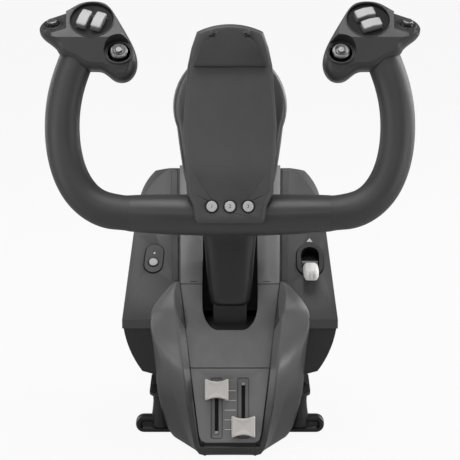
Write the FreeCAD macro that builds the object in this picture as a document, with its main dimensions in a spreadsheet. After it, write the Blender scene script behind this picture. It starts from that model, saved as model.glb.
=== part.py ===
# Desk-clamped flight control yoke, as an assembly of separate pieces. Millimetres.
#
# Row frame: +X to the pilot's right, +Y away from the pilot, +Z up.
# The origin lies in the middle of the underside that rests on the desk.
# Base pieces are drawn in the datum frame, whose Y starts near the base's front edge,
# and wheel pieces in the hub frame: its z is the roll axis (towards the pilot) and its y points up.
import FreeCAD, Part
import math
import os
import Sketcher

V = FreeCAD.Vector
doc = FreeCAD.newDocument("ControlYoke")

# ---------------------------------------------------------------- driving sizes
SIZES = {
    # base housing
    "desk_centre": 100.0,       # datum to the middle of the underside
    "front_face": 5.0,          # front wall of the base
    "rear_face": 190.0,
    "foot_rise": 1.5,           # rubber feet under the hull
    "wall": 2.5,
    "fit_gap": 0.3,             # gap between seated casings
    "hull_floor_half": 79.5,
    "hull_chine_half": 92.0,
    "hull_chine_height": 5.0,
    "hull_bulge_half": 104.6,
    "hull_bulge_height": 28.0,
    "rim_half": 112.6,
    "rim_height": 51.7,
    "slope_foot": 61.5,         # height of the sloped deck at the front wall
    "slope_angle": 41.7,
    "side_top_half": 103.5,
    "side_top_height": 134.7,
    "shoulder_half": 93.7,
    "shoulder_height": 166.0,
    "crown_half": 65.5,
    "crown_height": 190.5,
    "crown_fall": 17.0,         # the crown falls to the rear by this angle
    "corner_radius": 14.0,
    # slot, covers and liner
    "slot_half": 29.0,
    "slot_front": 5.0,
    "slot_rear": 114.0,
    "slot_corner": 17.0,
    "cover_rise": 3.0,
    "cover_start": 42.0,        # along the deck, from its foot
    "cover_half_front": 52.0,
    "cover_half_rear": 55.4,
    "cover_rear": 178.0,
    "groove_width": 2.0,
    "lobe_gap": 1.0,            # between the covers' edges and the nose frame's lobes
    # nose that hangs in front of the desk edge
    "seam_depth": -19.0,
    "seam_height": 17.0,
    "chin_depth": -45.0,
    "chin_height": -55.4,
    "nose_bottom": -74.5,
    "panel_thick": 2.5,
    "panel_half_seam": 41.0,
    "panel_half_chin": 32.0,
    "panel_corner": 7.0,
    "seam_gap": 0.5,
    "lobe_rise": 3.0,
    "frame_proud": 0.8,         # the nose frame's front stands this far in front of the panels
    # pitch pivot
    "pivot_depth": 32.0,
    "pivot_height": 18.0,
    "pivot_shaft_radius": 5.0,
    "running_gap": 0.05,
    "drum_radius": 37.0,
    "drum_half": 27.0,
    "bracket_inner": 33.0,
    "bracket_thick": 4.0,
    "bearing_radius": 8.0,
    "plate_thick": 2.0,
    "plate_half": 60.0,
    # column
    "column_front": 14.0,
    "column_rear": 59.0,
    "column_foot": 73.5,
    "column_foot_half": 22.0,
    "column_neck_half": 27.0,
    "pear_radius": 58.0,
    "column_split": 38.0,
    # hub frame
    "hub_depth": -12.4,
    "hub_height": 293.7,
    "wheel_tilt": 15.0,
    "column_gap": 24.0,         # wheel plane to the column's face, along the roll axis
    "column_depth": 34.0,
    "roll_shaft_radius": 6.0,
    "roll_bearing_radius": 11.0,
    "roll_bearing_width": 6.0,
    "hub_front": 27.0,
    "hub_back": 20.0,
    "hub_wall": 2.5,
    "bar_drop": 111.3,
    "bar_radius": 20.7,
    "bar_half": 100.0,
    "bar_end_radius": 18.2,
    "grip_radius": 17.4,
    "grip_wall": 3.0,
    # horn heads
    "horn_front": 20.0,
    "horn_back": 22.0,
    "horn_wall": 3.0,
    "well_radius": 22.0,
    "well_tilt": 33.0,
    "well_depth": 3.0,
    "key_width": 10.5,
    "key_length": 20.0,
    "key_height": 4.5,
    "key_depth": 10.0,
    "thumb_radius": 6.2,
    "thumb_height": 5.0,
    "hat_radius": 8.8,
    "hat_tilt": 31.0,
    "hat_room": 2.6,
    "hat_pivot": 7.0,
    # hub controls
    "hub_button_radius": 5.3,
    "hub_button_pitch": 17.9,
    "hub_button_drop": 102.8,
    "button_gap": 0.35,
    "clip_thick": 3.0,
    "clip_lift": 2.0,
    "clip_hinge": 68.0,
    # sliders on the nose
    "slider_offset": 13.75,
    "slider_travel": 38.0,
    "slider_top": 22.4,         # left knob, below the seam
    "slider_width": 24.6,
    "slider_length": 23.8,
    "slider_waist": 17.0,
    "slider_height": 13.0,
    "slot_width": 4.0,
    "stem_width": 3.0,
    # deck controls
    "guide_offset": 81.0,
    "guide_along": 75.6,
    "guide_width": 19.0,
    "guide_length": 34.8,
    "guide_turn": 4.7,
    "guide_button_radius": 5.5,
    "gear_offset": 85.2,
    "gear_along": 73.6,
    "gear_width": 28.0,
    "gear_length": 40.0,
    "gear_lean": 50.0,
    # desk clamps
    "clamp_offset": 74.0,
    "clamp_depth": 34.0,
    "clamp_throat": 24.0,
    "pad_thick": 3.0,
    "jaw_thick": 3.0,
    "jaw_width": 24.0,
    "jaw_rear": 88.0,
    "screw_radius": 4.0,
    "knob_hub_radius": 10.0,
    "wing_span": 54.0,
    "wing_height": 19.0,
    "jack_radius": 1.8,
}

sheet = doc.addObject("Spreadsheet::Sheet", "Sizes")
for row, (alias, value) in enumerate(SIZES.items(), start=1):
    sheet.set("A%d" % row, alias)
    sheet.set("B%d" % row, str(value))
    sheet.setAlias("B%d" % row, alias)
doc.recompute()


def size(alias):
    """The value of one cell of the sheet."""
    return float(sheet.get(alias))


def bind(thing, target, expression):
    """Bind a property or constraint to an expression of the sheet's cells."""
    thing.setExpression(target, expression)


# ---------------------------------------------------------------- frames
DATUM = FreeCAD.Placement(V(0, -size("desk_centre"), 0), FreeCAD.Rotation())
HUB_LOCAL = FreeCAD.Placement(V(0, size("hub_depth"), size("hub_height")),
                              FreeCAD.Rotation(V(1, 0, 0), 90 - size("wheel_tilt")))
HUB = DATUM.multiply(HUB_LOCAL)
DECK_LOCAL = FreeCAD.Placement(V(0, size("front_face"), size("slope_foot")),
                               FreeCAD.Rotation(V(1, 0, 0), size("slope_angle")))


def nose_angle():
    """Slope of the slider panel from the horizontal, in degrees."""
    rise = size("seam_height") - size("chin_height")
    run = size("seam_depth") - size("chin_depth")
    return math.degrees(math.atan2(rise, run))


NOSE_LOCAL = FreeCAD.Placement(V(0, size("seam_depth"), size("seam_height")),
                               FreeCAD.Rotation(V(1, 0, 0), nose_angle()))
NOSE = DATUM.multiply(NOSE_LOCAL)


def at(x, y, z, axis=V(0, 0, 1), angle=0.0):
    """A placement at a point, turned about an axis through it."""
    return FreeCAD.Placement(V(x, y, z), FreeCAD.Rotation(axis, angle))


def along(point, direction):
    """A placement at a point with its z along a direction."""
    return FreeCAD.Placement(point, FreeCAD.Rotation(V(0, 0, 1), direction))


# ---------------------------------------------------------------- shape helpers
def prism(points, travel):
    """A closed polygon pushed along a vector."""
    corners = [V(*p) for p in points]
    wire = Part.makePolygon(corners + corners[:1])
    return Part.Face(wire).extrude(V(*travel))


def side_prism(profile, x_low, x_high):
    """A polygon of (depth, height) pairs, extruded across the object."""
    return prism([(x_low, y, z) for y, z in profile], (x_high - x_low, 0, 0))


def front_prism(profile, y_low, y_high):
    """A polygon of (x, height) pairs, extruded from front to rear."""
    return prism([(x, y_low, z) for x, z in profile], (0, y_high - y_low, 0))


def plan_prism(profile, z_low, z_high):
    """A polygon of (x, y) pairs, extruded upwards."""
    return prism([(x, y, z_low) for x, y in profile], (0, 0, z_high - z_low))


def block(x_low, x_high, y_low, y_high, z_low, z_high):
    """A box from its limits."""
    return Part.makeBox(x_high - x_low, y_high - y_low, z_high - z_low, V(x_low, y_low, z_low))


def rod(radius, start, end):
    """A round bar between two points."""
    span = end.sub(start)
    return Part.makeCylinder(radius, span.Length, start, span)


def mirrored(shape):
    """The same shape on the other side of the middle plane."""
    return shape.mirror(V(0, 0, 0), V(1, 0, 0))


def placed(shape, placement):
    """A copy of a shape, moved by a placement."""
    copy = shape.copy()
    copy.Placement = placement.multiply(copy.Placement)
    return copy


def rounded_block(width, length, low, high, radius):
    """An upright block with rounded vertical edges, centred on the z axis."""
    body = block(-width / 2, width / 2, -length / 2, length / 2, low, high)
    radius = min(radius, 0.49 * min(width, length))
    upright = [e for e in body.Edges if abs(e.tangentAt(e.FirstParameter).z) > 0.99]
    return body.makeFillet(radius, upright)


def soften(shape, radius, chooser):
    """Fillet the edges that a test picks."""
    edges = [e for e in shape.Edges if chooser(e)]
    return shape.makeFillet(radius, edges)


def spline_wire(points):
    """A smooth closed outline through points."""
    curve = Part.BSplineCurve()
    curve.interpolate(Points=[V(*p) for p in points], PeriodicFlag=True)
    return Part.Wire([curve.toShape()])


def lathe(profile):
    """A (radius, height) polygon turned about the z axis."""
    corners = [V(r, 0, z) for r, z in profile]
    face = Part.Face(Part.makePolygon(corners + corners[:1]))
    return face.revolve(V(0, 0, 0), V(0, 0, 1), 360)


# ---------------------------------------------------------------- sub-part helpers
NODES = []


def sub_part(label, shape, placement=DATUM):
    """A piece whose shape is set from Part's own functions."""
    piece = doc.addObject("Part::Feature", label)
    piece.Label = label
    piece.Shape = shape
    piece.Placement = placement.multiply(shape.Placement)
    NODES.append(piece)
    return piece


def plane_of(body, role):
    """One origin plane of a body."""
    return [f for f in body.Origin.OriginFeatures if f.Role == role][0]


def new_body(label, placement):
    """An empty body at its place."""
    body = doc.addObject("PartDesign::Body", label)
    body.Label = label
    body.Placement = placement
    NODES.append(body)
    return body


def new_sketch(body, name, role="XY_Plane"):
    """A sketch on one of the body's own origin planes."""
    sketch = body.newObject("Sketcher::SketchObject", body.Label + "_" + name)
    sketch.AttachmentSupport = [(plane_of(body, role), "")]
    sketch.MapMode = "FlatFace"
    return sketch


def add_circle(sketch, expression, x=0.0, y=0.0):
    """A circle whose radius follows the sheet."""
    index = sketch.addGeometry(Part.Circle(V(x, y, 0), V(0, 0, 1), 1), False)
    rule = sketch.addConstraint(Sketcher.Constraint("Radius", index, 1))
    bind(sketch, "Constraints[%d]" % rule, expression)
    for axis, value in (("DistanceX", x), ("DistanceY", y)):
        sketch.addConstraint(Sketcher.Constraint(axis, index, 3, value))
    return index


def add_rectangle(sketch, width, length):
    """A centred rectangle whose sides follow the sheet."""
    corners = [V(-1, -1, 0), V(1, -1, 0), V(1, 1, 0), V(-1, 1, 0)]
    for i in range(4):
        sketch.addGeometry(Part.LineSegment(corners[i], corners[(i + 1) % 4]), False)
    for i in range(4):
        sketch.addConstraint(Sketcher.Constraint("Coincident", i, 2, (i + 1) % 4, 1))
    for i in (0, 2):
        sketch.addConstraint(Sketcher.Constraint("Horizontal", i))
        sketch.addConstraint(Sketcher.Constraint("Vertical", i + 1))
    sketch.addConstraint(Sketcher.Constraint("Symmetric", 0, 1, 1, 2, -1, 1))
    rule = sketch.addConstraint(Sketcher.Constraint("DistanceX", 0, 1, 0, 2, 2))
    bind(sketch, "Constraints[%d]" % rule, width)
    rule = sketch.addConstraint(Sketcher.Constraint("DistanceY", 1, 1, 1, 2, 2))
    bind(sketch, "Constraints[%d]" % rule, length)


def pad(body, sketch, expression):
    """A pad whose length follows the sheet."""
    feature = body.newObject("PartDesign::Pad", body.Label + "_pad_%d" % len(body.Group))
    feature.Profile = sketch
    bind(feature, "Length", expression)
    body.Tip = feature
    doc.recompute()
    return feature


def round_edges(body, base, expression, chooser):
    """Fillet the edges of a body's tip that a test picks."""
    names = ["Edge%d" % (i + 1) for i, e in enumerate(base.Shape.Edges) if chooser(e)]
    feature = body.newObject("PartDesign::Fillet", body.Label + "_fillet_%d" % len(body.Group))
    feature.Base = (base, names)
    bind(feature, "Radius", expression)
    body.Tip = feature
    doc.recompute()
    return feature


def disc_body(label, radius, length, placement, hole=None, edge=None):
    """A round piece: a padded circle, with an optional bore and rounded rim."""
    body = new_body(label, placement)
    sketch = new_sketch(body, "circle")
    add_circle(sketch, radius)
    if hole:
        add_circle(sketch, hole)
    feature = pad(body, sketch, length)
    if edge:
        top = feature.Shape.BoundBox.ZMax
        round_edges(body, feature, edge, lambda e: abs(e.CenterOfMass.z - top) < 1e-6)
    return body


def plate_body(label, width, length, thick, placement, corner=None):
    """A flat rectangular piece with rounded corners."""
    body = new_body(label, placement)
    sketch = new_sketch(body, "outline")
    add_rectangle(sketch, width, length)
    feature = pad(body, sketch, thick)
    if corner:
        round_edges(body, feature, corner,
                    lambda e: abs(e.tangentAt(e.FirstParameter).z) > 0.99)
    return body


# ---------------------------------------------------------------- base outlines
def deck_point(s, rise):
    """(depth, height) of a point on the deck: s up the slope, rise out of it."""
    point = DECK_LOCAL.multVec(V(0, s, rise))
    return point.y, point.z


def deck_length():
    """Length of the sloped deck, from its foot to the crown."""
    return (size("crown_height") - size("slope_foot")) / math.sin(math.radians(size("slope_angle")))


def crest_point(rise):
    """(depth, height) where the deck meets the crown, both raised by rise."""
    slope = math.tan(math.radians(size("slope_angle")))
    fall = math.tan(math.radians(size("crown_fall")))
    foot = deck_point(0, rise)
    end = deck_point(deck_length(), 0)
    crown = end[1] + rise * math.hypot(1, fall)
    depth = (crown - foot[1] + slope * foot[0] + fall * end[0]) / (slope + fall)
    return depth, foot[1] + slope * (depth - foot[0])


def crown_point(depth, rise):
    """(depth, height) of a point on the crown behind the crest, raised by rise."""
    start = crest_point(rise)
    return depth, start[1] - math.tan(math.radians(size("crown_fall"))) * (depth - start[0])


def panel_seam():
    """(depth, height) of the seam between nose panel and slider panel."""
    return size("seam_depth"), size("seam_height")


def panel_normal(start, end):
    """Outward normal of a nose strip that runs down from start to end."""
    run = end[0] - start[0]
    drop = end[1] - start[1]
    length = math.hypot(run, drop)
    return drop / length, -run / length


def shifted(point, normal, distance):
    """A profile point moved along a normal."""
    return point[0] + normal[0] * distance, point[1] + normal[1] * distance


def base_plan(inset, low, high):
    """Plan outline of the base with rounded rear corners."""
    half = size("rim_half") + 5 - inset
    front = size("front_face") + size("fit_gap") + inset
    rear = size("rear_face") - inset
    body = block(-half, half, front, rear, low, high)
    radius = size("corner_radius") + 5 - inset
    return soften(body, radius, lambda e: abs(e.tangentAt(e.FirstParameter).z) > 0.99
                  and e.CenterOfMass.y > rear - 1)


def hull_solid(inset):
    """The lower hull's outer form, or its cavity when inset by the wall."""
    low = size("foot_rise") + inset
    top = size("rim_height") + inset
    floor_half = size("hull_floor_half") - inset
    chine = size("hull_chine_half") - inset
    bulge = size("hull_bulge_half") - inset
    rim = size("rim_half") - 1.6 - inset
    chine_z = size("hull_chine_height") + inset
    bulge_z = size("hull_bulge_height")
    front = size("front_face") - 10
    edges = [Part.makeLine(V(-floor_half, front, low), V(floor_half, front, low)),
             Part.makeLine(V(floor_half, front, low), V(chine, front, chine_z)),
             Part.Arc(V(chine, front, chine_z), V(bulge, front, bulge_z),
                      V(rim, front, top)).toShape(),
             Part.makeLine(V(rim, front, top), V(-rim, front, top)),
             Part.Arc(V(-rim, front, top), V(-bulge, front, bulge_z),
                      V(-chine, front, chine_z)).toShape(),
             Part.makeLine(V(-chine, front, chine_z), V(-floor_half, front, low))]
    section = Part.Face(Part.Wire(edges))
    long_body = section.extrude(V(0, size("rear_face") + 20, 0))
    return long_body.common(base_plan(inset, 0, size("rim_height") + 2 * inset))


def upper_solid(inset):
    """The upper housing's outer form, or its cavity when inset by the wall."""
    low = size("rim_height") + size("fit_gap") - 4 * inset
    rim = size("rim_half") - inset
    side = size("side_top_half") - inset
    crown = size("crown_half")
    top = size("crown_height") - inset
    shoulder = size("shoulder_half") - inset * 0.8
    shoulder_z = size("shoulder_height") - inset * 0.6
    front = size("front_face") - 10
    side_z = size("side_top_height")
    edges = [Part.makeLine(V(-rim, front, low), V(rim, front, low)),
             Part.makeLine(V(rim, front, low), V(rim, front, size("slope_foot"))),
             Part.makeLine(V(rim, front, size("slope_foot")), V(side, front, side_z)),
             Part.Arc(V(side, front, side_z), V(shoulder, front, shoulder_z),
                      V(crown, front, top)).toShape(),
             Part.makeLine(V(crown, front, top), V(-crown, front, top)),
             Part.Arc(V(-crown, front, top), V(-shoulder, front, shoulder_z),
                      V(-side, front, side_z)).toShape(),
             Part.makeLine(V(-side, front, side_z), V(-rim, front, size("slope_foot"))),
             Part.makeLine(V(-rim, front, size("slope_foot")), V(-rim, front, low))]
    section = Part.Face(Part.Wire(edges))
    long_body = section.extrude(V(0, size("rear_face") + 20, 0))
    foot = deck_point(-20, -inset)
    crest = crest_point(-inset)
    end = crown_point(size("rear_face") + 30, -inset)
    wedge = side_prism([(foot[0], low), foot, crest, end, (end[0], low)], -150, 150)
    return long_body.common(wedge).common(base_plan(inset, low - 1, crest[1] + 1))


def slot_prism(grow, low=-10, high=260):
    """The column's slot as an upright prism, grown by a clearance."""
    half = size("slot_half") + grow
    front = size("slot_front") - grow
    rear = size("slot_rear") + grow
    body = block(-half, half, front, rear, low, high)
    radius = min(size("slot_corner"), half - 1)
    return soften(body, radius, lambda e: abs(e.tangentAt(e.FirstParameter).z) > 0.99)


def panel_top():
    """(depth, height) of the crease where the nose panel meets the centre cover."""
    return deck_point(size("cover_start"), size("cover_rise"))


def panel_front_outline(grow):
    """Front outline of nose panel and slider panel together, as (x, height) pairs."""
    top = panel_top()[1] + 30 + grow
    spread = size("cover_half_front") - size("panel_half_seam")
    slope = spread / (panel_top()[1] - size("seam_height"))
    top_half = size("panel_half_seam") + slope * (top - size("seam_height")) + grow
    seam = size("panel_half_seam") + grow
    chin = size("panel_half_chin") + grow
    low = size("chin_height") - grow
    cut = size("panel_corner")
    right = [(top_half, top), (seam, size("seam_height")), (chin, low + cut),
             (chin - 0.3 * cut, low + 0.3 * cut), (chin - cut, low)]
    return right + [(-x, z) for x, z in reversed(right)]


def panel_strip(start, end, thick, trim_start, trim_end):
    """A strip of the nose skin between two profile points, thick inwards."""
    normal = panel_normal(start, end)
    run = (end[0] - start[0], end[1] - start[1])
    length = math.hypot(*run)
    unit = (run[0] / length, run[1] / length)
    begin = shifted(start, unit, trim_start)
    finish = shifted(end, unit, -trim_end)
    back = [shifted(finish, normal, -thick), shifted(begin, normal, -thick)]
    return side_prism([begin, finish] + back, -80, 80)


def behind_panels(grow):
    """Everything in front of the panels' back faces, inside their outline: cut from what carries them."""
    top = panel_top()
    seam = panel_seam()
    chin = (size("chin_depth"), size("chin_height"))
    upper = panel_normal(top, seam)
    lower = panel_normal(seam, chin)
    thick = size("panel_thick")
    run = (top[0] - seam[0], top[1] - seam[1])
    far_top = (top[0] + run[0] * 0.2, top[1] + run[1] * 0.2)
    reach = thick / (1 + upper[0] * lower[0] + upper[1] * lower[1])
    joint = (seam[0] - reach * (upper[0] + lower[0]), seam[1] - reach * (upper[1] + lower[1]))
    profile = [shifted(far_top, upper, -thick), joint, shifted(chin, lower, -thick),
               (chin[0] - 40, chin[1] + 5), (seam[0] - 60, top[1] + 30), (far_top[0], top[1] + 60)]
    body = side_prism(profile, -80, 80)
    return body.common(front_prism(panel_front_outline(grow), -120, 120))


# ---------------------------------------------------------------- base casings
def lower_hull():
    """Tray under the deck: rounded chines, drum window, ports and clamp bosses."""
    body = hull_solid(0).cut(hull_solid(size("wall")))
    boss_top = size("foot_rise") + 16
    for side in (-1, 1):
        x = side * size("clamp_offset")
        post = rod(size("screw_radius") + 4.5, V(x, size("clamp_depth"), size("foot_rise")),
                   V(x, size("clamp_depth"), boss_top))
        body = body.fuse(post)
        hole = rod(size("screw_radius") + size("fit_gap"), V(x, size("clamp_depth"), -5),
                   V(x, size("clamp_depth"), boss_top + 5))
        body = body.cut(hole)
    window = block(-size("slot_half") - 4, size("slot_half") + 4, -10, size("front_face") + 8, 10, 80)
    body = body.cut(window).cut(behind_panels(size("fit_gap")))
    ports = block(-32.3, 32.3, size("rear_face") - 8, size("rear_face") + 5, 17.7, 38.3)
    return sub_part("lower_hull", body.cut(ports))


def deck_opening(placement, width, length):
    """A round-ended hole through the deck under a control."""
    radius = min(width, length) / 2
    hole = rounded_block(width, length, -20, 10, radius)
    return placed(hole, placement)


def guide_place():
    """Where the guide button's bezel sits on the deck."""
    spot = at(-size("guide_offset"), size("guide_along"), 0, V(0, 0, 1), -size("guide_turn"))
    return DECK_LOCAL.multiply(spot)


def gear_place():
    """Where the gear lever's bezel sits on the deck."""
    return DECK_LOCAL.multiply(at(size("gear_offset"), size("gear_along"), 0))


def housing():
    """Both halves of the deck housing, split on the middle plane under the centre cover."""
    shell = upper_solid(0).cut(upper_solid(size("wall")))
    half = size("slot_half") + 4
    shell = shell.cut(block(-half, half, 0, size("slot_rear") + 4, 40, 260))
    shell = shell.cut(behind_panels(size("fit_gap")))
    window = block(-size("slot_half") - 4, size("slot_half") + 4, -10, size("front_face") + 8, 10, 80)
    shell = shell.cut(window)
    taper = size("cover_half_rear") - size("cover_half_front")
    angle = math.degrees(math.atan2(taper, deck_length() - size("cover_start")))
    groove = Part.makeBox(size("groove_width"), deck_length() - size("cover_start") + 3, 6,
                          V(0, 0, -1.6))
    spot = at(size("cover_half_front") + size("fit_gap"), size("cover_start"), 0, V(0, 0, 1), -angle)
    groove = placed(placed(groove, spot), DECK_LOCAL)
    shell = shell.cut(groove).cut(mirrored(groove))
    shell = shell.cut(deck_opening(guide_place(), size("guide_width") - 4, size("guide_length") - 4))
    shell = shell.cut(deck_opening(gear_place(), size("gear_width") - 5, size("gear_length") - 5))
    gap = size("fit_gap") / 4
    for side, label in ((-1, "housing_left"), (1, "housing_right")):
        low, high = sorted((side * gap, side * 200))
        sub_part(label, shell.common(block(low, high, -50, 300, 0, 300)))


def centre_cover():
    """Raised strip around the slot, bent over the crown."""
    rise = size("cover_rise")
    start = size("cover_start") + 0.8
    rear_edge = size("cover_rear")
    profile = [deck_point(start, 0), crest_point(0), crown_point(rear_edge, 0), crown_point(rear_edge, rise),
               crest_point(rise), deck_point(start, rise)]
    front = size("cover_half_front")
    rear = size("cover_half_rear")
    crest = crest_point(0)[0]
    begin = deck_point(start, 0)[0] - 3
    radius = min(6, (rear_edge - crest) / 2)
    right = [(front, begin), (rear, crest), (rear, rear_edge - radius),
             (rear - 0.3 * radius, rear_edge - 0.3 * radius), (rear - radius, rear_edge)]
    outline = right + [(-x, y) for x, y in reversed(right)]
    body = side_prism(profile, -80, 80).common(plan_prism(outline, 0, 300)).cut(slot_prism(0))
    return sub_part("centre_cover", body)


def nose_panel():
    """Upper nose panel with the slot's rounded front end."""
    strip = panel_strip(panel_top(), panel_seam(), size("panel_thick"), size("fit_gap"), size("seam_gap"))
    body = strip.common(front_prism(panel_front_outline(0), -120, 120)).cut(slot_prism(0))
    return sub_part("nose_panel", body)


def slider_place(side):
    """A slider's rest position on the nose: left at the top, right at the bottom."""
    drop = size("slider_top") + (size("slider_travel") if side > 0 else 0)
    return at(side * size("slider_offset"), -drop, 0)


def slider_panel():
    """Lower nose panel with two channelled slots for the sliders."""
    chin = (size("chin_depth"), size("chin_height"))
    strip = panel_strip(panel_seam(), chin, size("panel_thick"), size("seam_gap"), 0)
    body = strip.common(front_prism(panel_front_outline(0), -120, 120))
    middle = -(size("slider_top") + size("slider_travel") / 2)
    length = size("slider_travel") + 15
    for side in (-1, 1):
        spot = NOSE_LOCAL.multiply(at(side * size("slider_offset"), middle, 0))
        body = body.cut(placed(rounded_block(size("slot_width"), length, -5, 5, 1.9), spot))
        body = body.cut(placed(rounded_block(size("slot_width") + 7, length + 9, -0.9, 5, 2.0), spot))
    return sub_part("slider_panel", body)


def nose_cowl():
    """Frame of the nose: a faceted shell that hangs from the front wall, with two lobes on the deck."""
    seam = panel_seam()
    chin = (size("chin_depth"), size("chin_height"))
    top = panel_top()
    thick = size("panel_thick")
    front = size("front_face")

    def face_depth(z, thickness):
        """Depth of a plane at a height: thickness behind the panels' front faces."""
        if z >= seam[1]:
            line = (seam, top)
        else:
            line = (chin, seam)
        share = (z - line[0][1]) / (line[1][1] - line[0][1])
        normal = panel_normal(line[1], line[0])
        depth = line[0][0] + share * (line[1][0] - line[0][0])
        return min(depth - thickness / normal[0], front - 1)

    # height, half-width at the panel, crease half-width, crease depth, rear half-width
    stations = [(63.5, 46.5, 84.4, 4.0, 85.4),
                (38.0, 43.0, 77.4, -1.1, 80.0),
                (17.0, 41.0, 69.8, -6.5, 78.8),
                (-21.0, 36.6, 56.3, -16.4, 77.0),
                (-50.0, 32.6, 46.7, -23.9, 69.7),
                (-67.0, 30.0, 39.2, -28.2, 61.8),
                (size("nose_bottom"), 24.0, 31.0, -30.0, 55.0)]

    def section(station, inset, z):
        """One horizontal section of the cowl."""
        height, panel_half, crease_half, crease_depth, rear_half = station
        skin = -size("frame_proud") if inset == 0 else thick + inset
        face = face_depth(max(height, chin[1]), skin) + max(0, chin[1] - height) * 0.35
        crease = crease_depth + 0.7 * inset
        rear = front + (0 if inset == 0 else 2)
        right = [(panel_half - 0.3 * inset, face), (crease_half - inset, crease), (rear_half - inset, rear)]
        corners = [V(x, y, z) for x, y in right + [(-x, y) for x, y in reversed(right)]]
        return Part.makePolygon(corners + corners[:1])

    wall = size("wall")
    outer = Part.makeLoft([section(one, 0, one[0]) for one in stations], True, True)
    inner_heights = [one[0] for one in stations]
    inner_heights[0] += 3
    inner_heights[-1] += wall
    inner = Part.makeLoft([section(one, wall, z) for one, z in zip(stations, inner_heights)], True, True)
    shell = outer.cut(inner)
    rise = size("lobe_rise")
    inner_edge = size("cover_half_front") + size("lobe_gap")
    right = [(inner_edge - 5.8, -2.6), (85.2, -2.6), (80.5, 16), (73.6, 27.5), (66.5, 36.5),
             (inner_edge + 7.8, 43.5), (inner_edge + 4.2, 45.2), (inner_edge, 45.2)]
    lobe = placed(plan_prism(right, 0, rise), DECK_LOCAL)
    shell = shell.fuse(lobe).fuse(mirrored(lobe))
    window = block(-size("slot_half") - 4, size("slot_half") + 4, -60, front + 1, 22, 100)
    reach = size("slider_travel") + 28
    middle = -(size("slider_top") + size("slider_travel") / 2)
    half = size("slider_offset") + 6
    sliders = placed(block(-half, half, middle - reach / 2, middle + reach / 2, -17, 5), NOSE_LOCAL)
    shell = shell.cut(window).cut(sliders).cut(behind_panels(size("fit_gap")))
    return sub_part("nose_cowl", shell.removeSplitter())


def slot_liner():
    """Trough that closes the slot's sides and rear against the column's sweep."""
    inner = size("slot_half")
    thick = 1.5
    top = panel_top()
    seam = panel_seam()
    normal = panel_normal(top, seam)
    low_front = shifted(seam, normal, -size("panel_thick") - 0.3)
    down = (-normal[1], normal[0])
    high_front = shifted(shifted(top, normal, -size("panel_thick") - 0.3), down, 3.2)
    run = (size("slot_rear") - size("front_face")) / math.cos(math.radians(size("slope_angle")))
    rear_top = deck_point(run, -0.3)
    start = size("front_face") - 4
    share = (start - low_front[0]) / (high_front[0] - low_front[0])
    begin = (start, low_front[1] + share * (high_front[1] - low_front[1]))
    rear_low = (86, 46)
    far_top = (rear_top[0] + thick, rear_top[1])
    far_low = (rear_low[0] + thick, rear_low[1])
    profile = [begin, high_front, rear_top, far_top, far_low, (rear_low[0] + thick, 40), (start, 40)]
    wall = side_prism(profile, inner, inner + thick)
    back = side_prism([rear_top, rear_low, far_low, far_top], -inner - thick / 2, inner + thick / 2)
    body = wall.fuse(mirrored(wall)).fuse(back)
    return sub_part("slot_liner", body.removeSplitter())


# ---------------------------------------------------------------- pitch mechanism
def pivot_point(x=0.0):
    """A point on the pitch axis."""
    return V(x, size("pivot_depth"), size("pivot_height"))


def chassis_plate():
    """Steel plate on the hull's floor that carries the pivot brackets."""
    floor = size("foot_rise") + size("wall")
    spot = DATUM.multiply(at(0, 82, floor))
    body = plate_body("chassis_plate", "2 * Sizes.plate_half", "136", "Sizes.plate_thick", spot, "6")
    return body


def plate_top():
    """Height of the chassis plate's upper face."""
    return size("foot_rise") + size("wall") + size("plate_thick")


def pivot_brackets():
    """Two folded steel brackets that hold the pitch bearings."""
    x_low = size("bracket_inner")
    x_high = x_low + size("bracket_thick")
    low = plate_top()
    centre = pivot_point(x_low)
    eye = size("bearing_radius") + 4
    cheek = side_prism([(size("pivot_depth") - 24, low), (size("pivot_depth") + 24, low),
                        (size("pivot_depth") + eye, size("pivot_height")),
                        (size("pivot_depth") - eye, size("pivot_height"))], x_low, x_high)
    cheek = cheek.fuse(rod(eye, centre, pivot_point(x_high)).common(block(0, 99, -99, 99, low, 99)))
    foot = block(x_low, x_high + 16, size("pivot_depth") - 24, size("pivot_depth") + 24, low, low + 1.8)
    cheek = cheek.fuse(foot)
    cheek = cheek.cut(rod(size("bearing_radius"), pivot_point(x_low - 1), pivot_point(x_high + 1)))
    for y in (-16, 16):
        cheek = cheek.cut(rod(2.2, V(x_high + 9, size("pivot_depth") + y, low - 1),
                              V(x_high + 9, size("pivot_depth") + y, low + 5)))
    cheek = cheek.removeSplitter()
    return sub_part("pivot_brackets", Part.makeCompound([mirrored(cheek), cheek]))


def pivot_bearings():
    """Flanged bearing rings pressed into the brackets."""
    rings = []
    bore = size("pivot_shaft_radius") + size("running_gap")
    for side in (-1, 1):
        inner = side * size("bracket_inner")
        outer = side * (size("bracket_inner") + size("bracket_thick"))
        lip = outer + side * 1.2
        ring = rod(size("bearing_radius"), pivot_point(inner), pivot_point(outer))
        ring = ring.fuse(rod(size("bearing_radius") + 1.5, pivot_point(outer), pivot_point(lip)))
        rings.append(ring.cut(rod(bore, pivot_point(inner - side), pivot_point(lip + side))))
    return sub_part("pivot_bearings", Part.makeCompound(rings))


def coil(radius, half, pitch, turns, start, direction):
    """A closed coil of square wire, its side twice half."""
    helix = Part.makeHelix(pitch, pitch * turns, radius)
    corners = [V(radius + x, 0, z) for x, z in ((-half, -half), (half, -half), (half, half), (-half, half))]
    section = Part.makePolygon(corners + corners[:1])
    body = Part.Wire(helix.Edges).makePipeShell([section], True, False)
    return placed(body, along(start, direction))


def pitch_spring():
    """Torsion spring beside the right bearing that centres the column."""
    wire = 0.8
    start = size("bracket_inner") + size("bracket_thick") + 1.3 + wire + size("fit_gap")
    body = coil(8.2, wire, 2.0, 4, pivot_point(start), V(1, 0, 0))
    return sub_part("pitch_spring", body)


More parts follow.
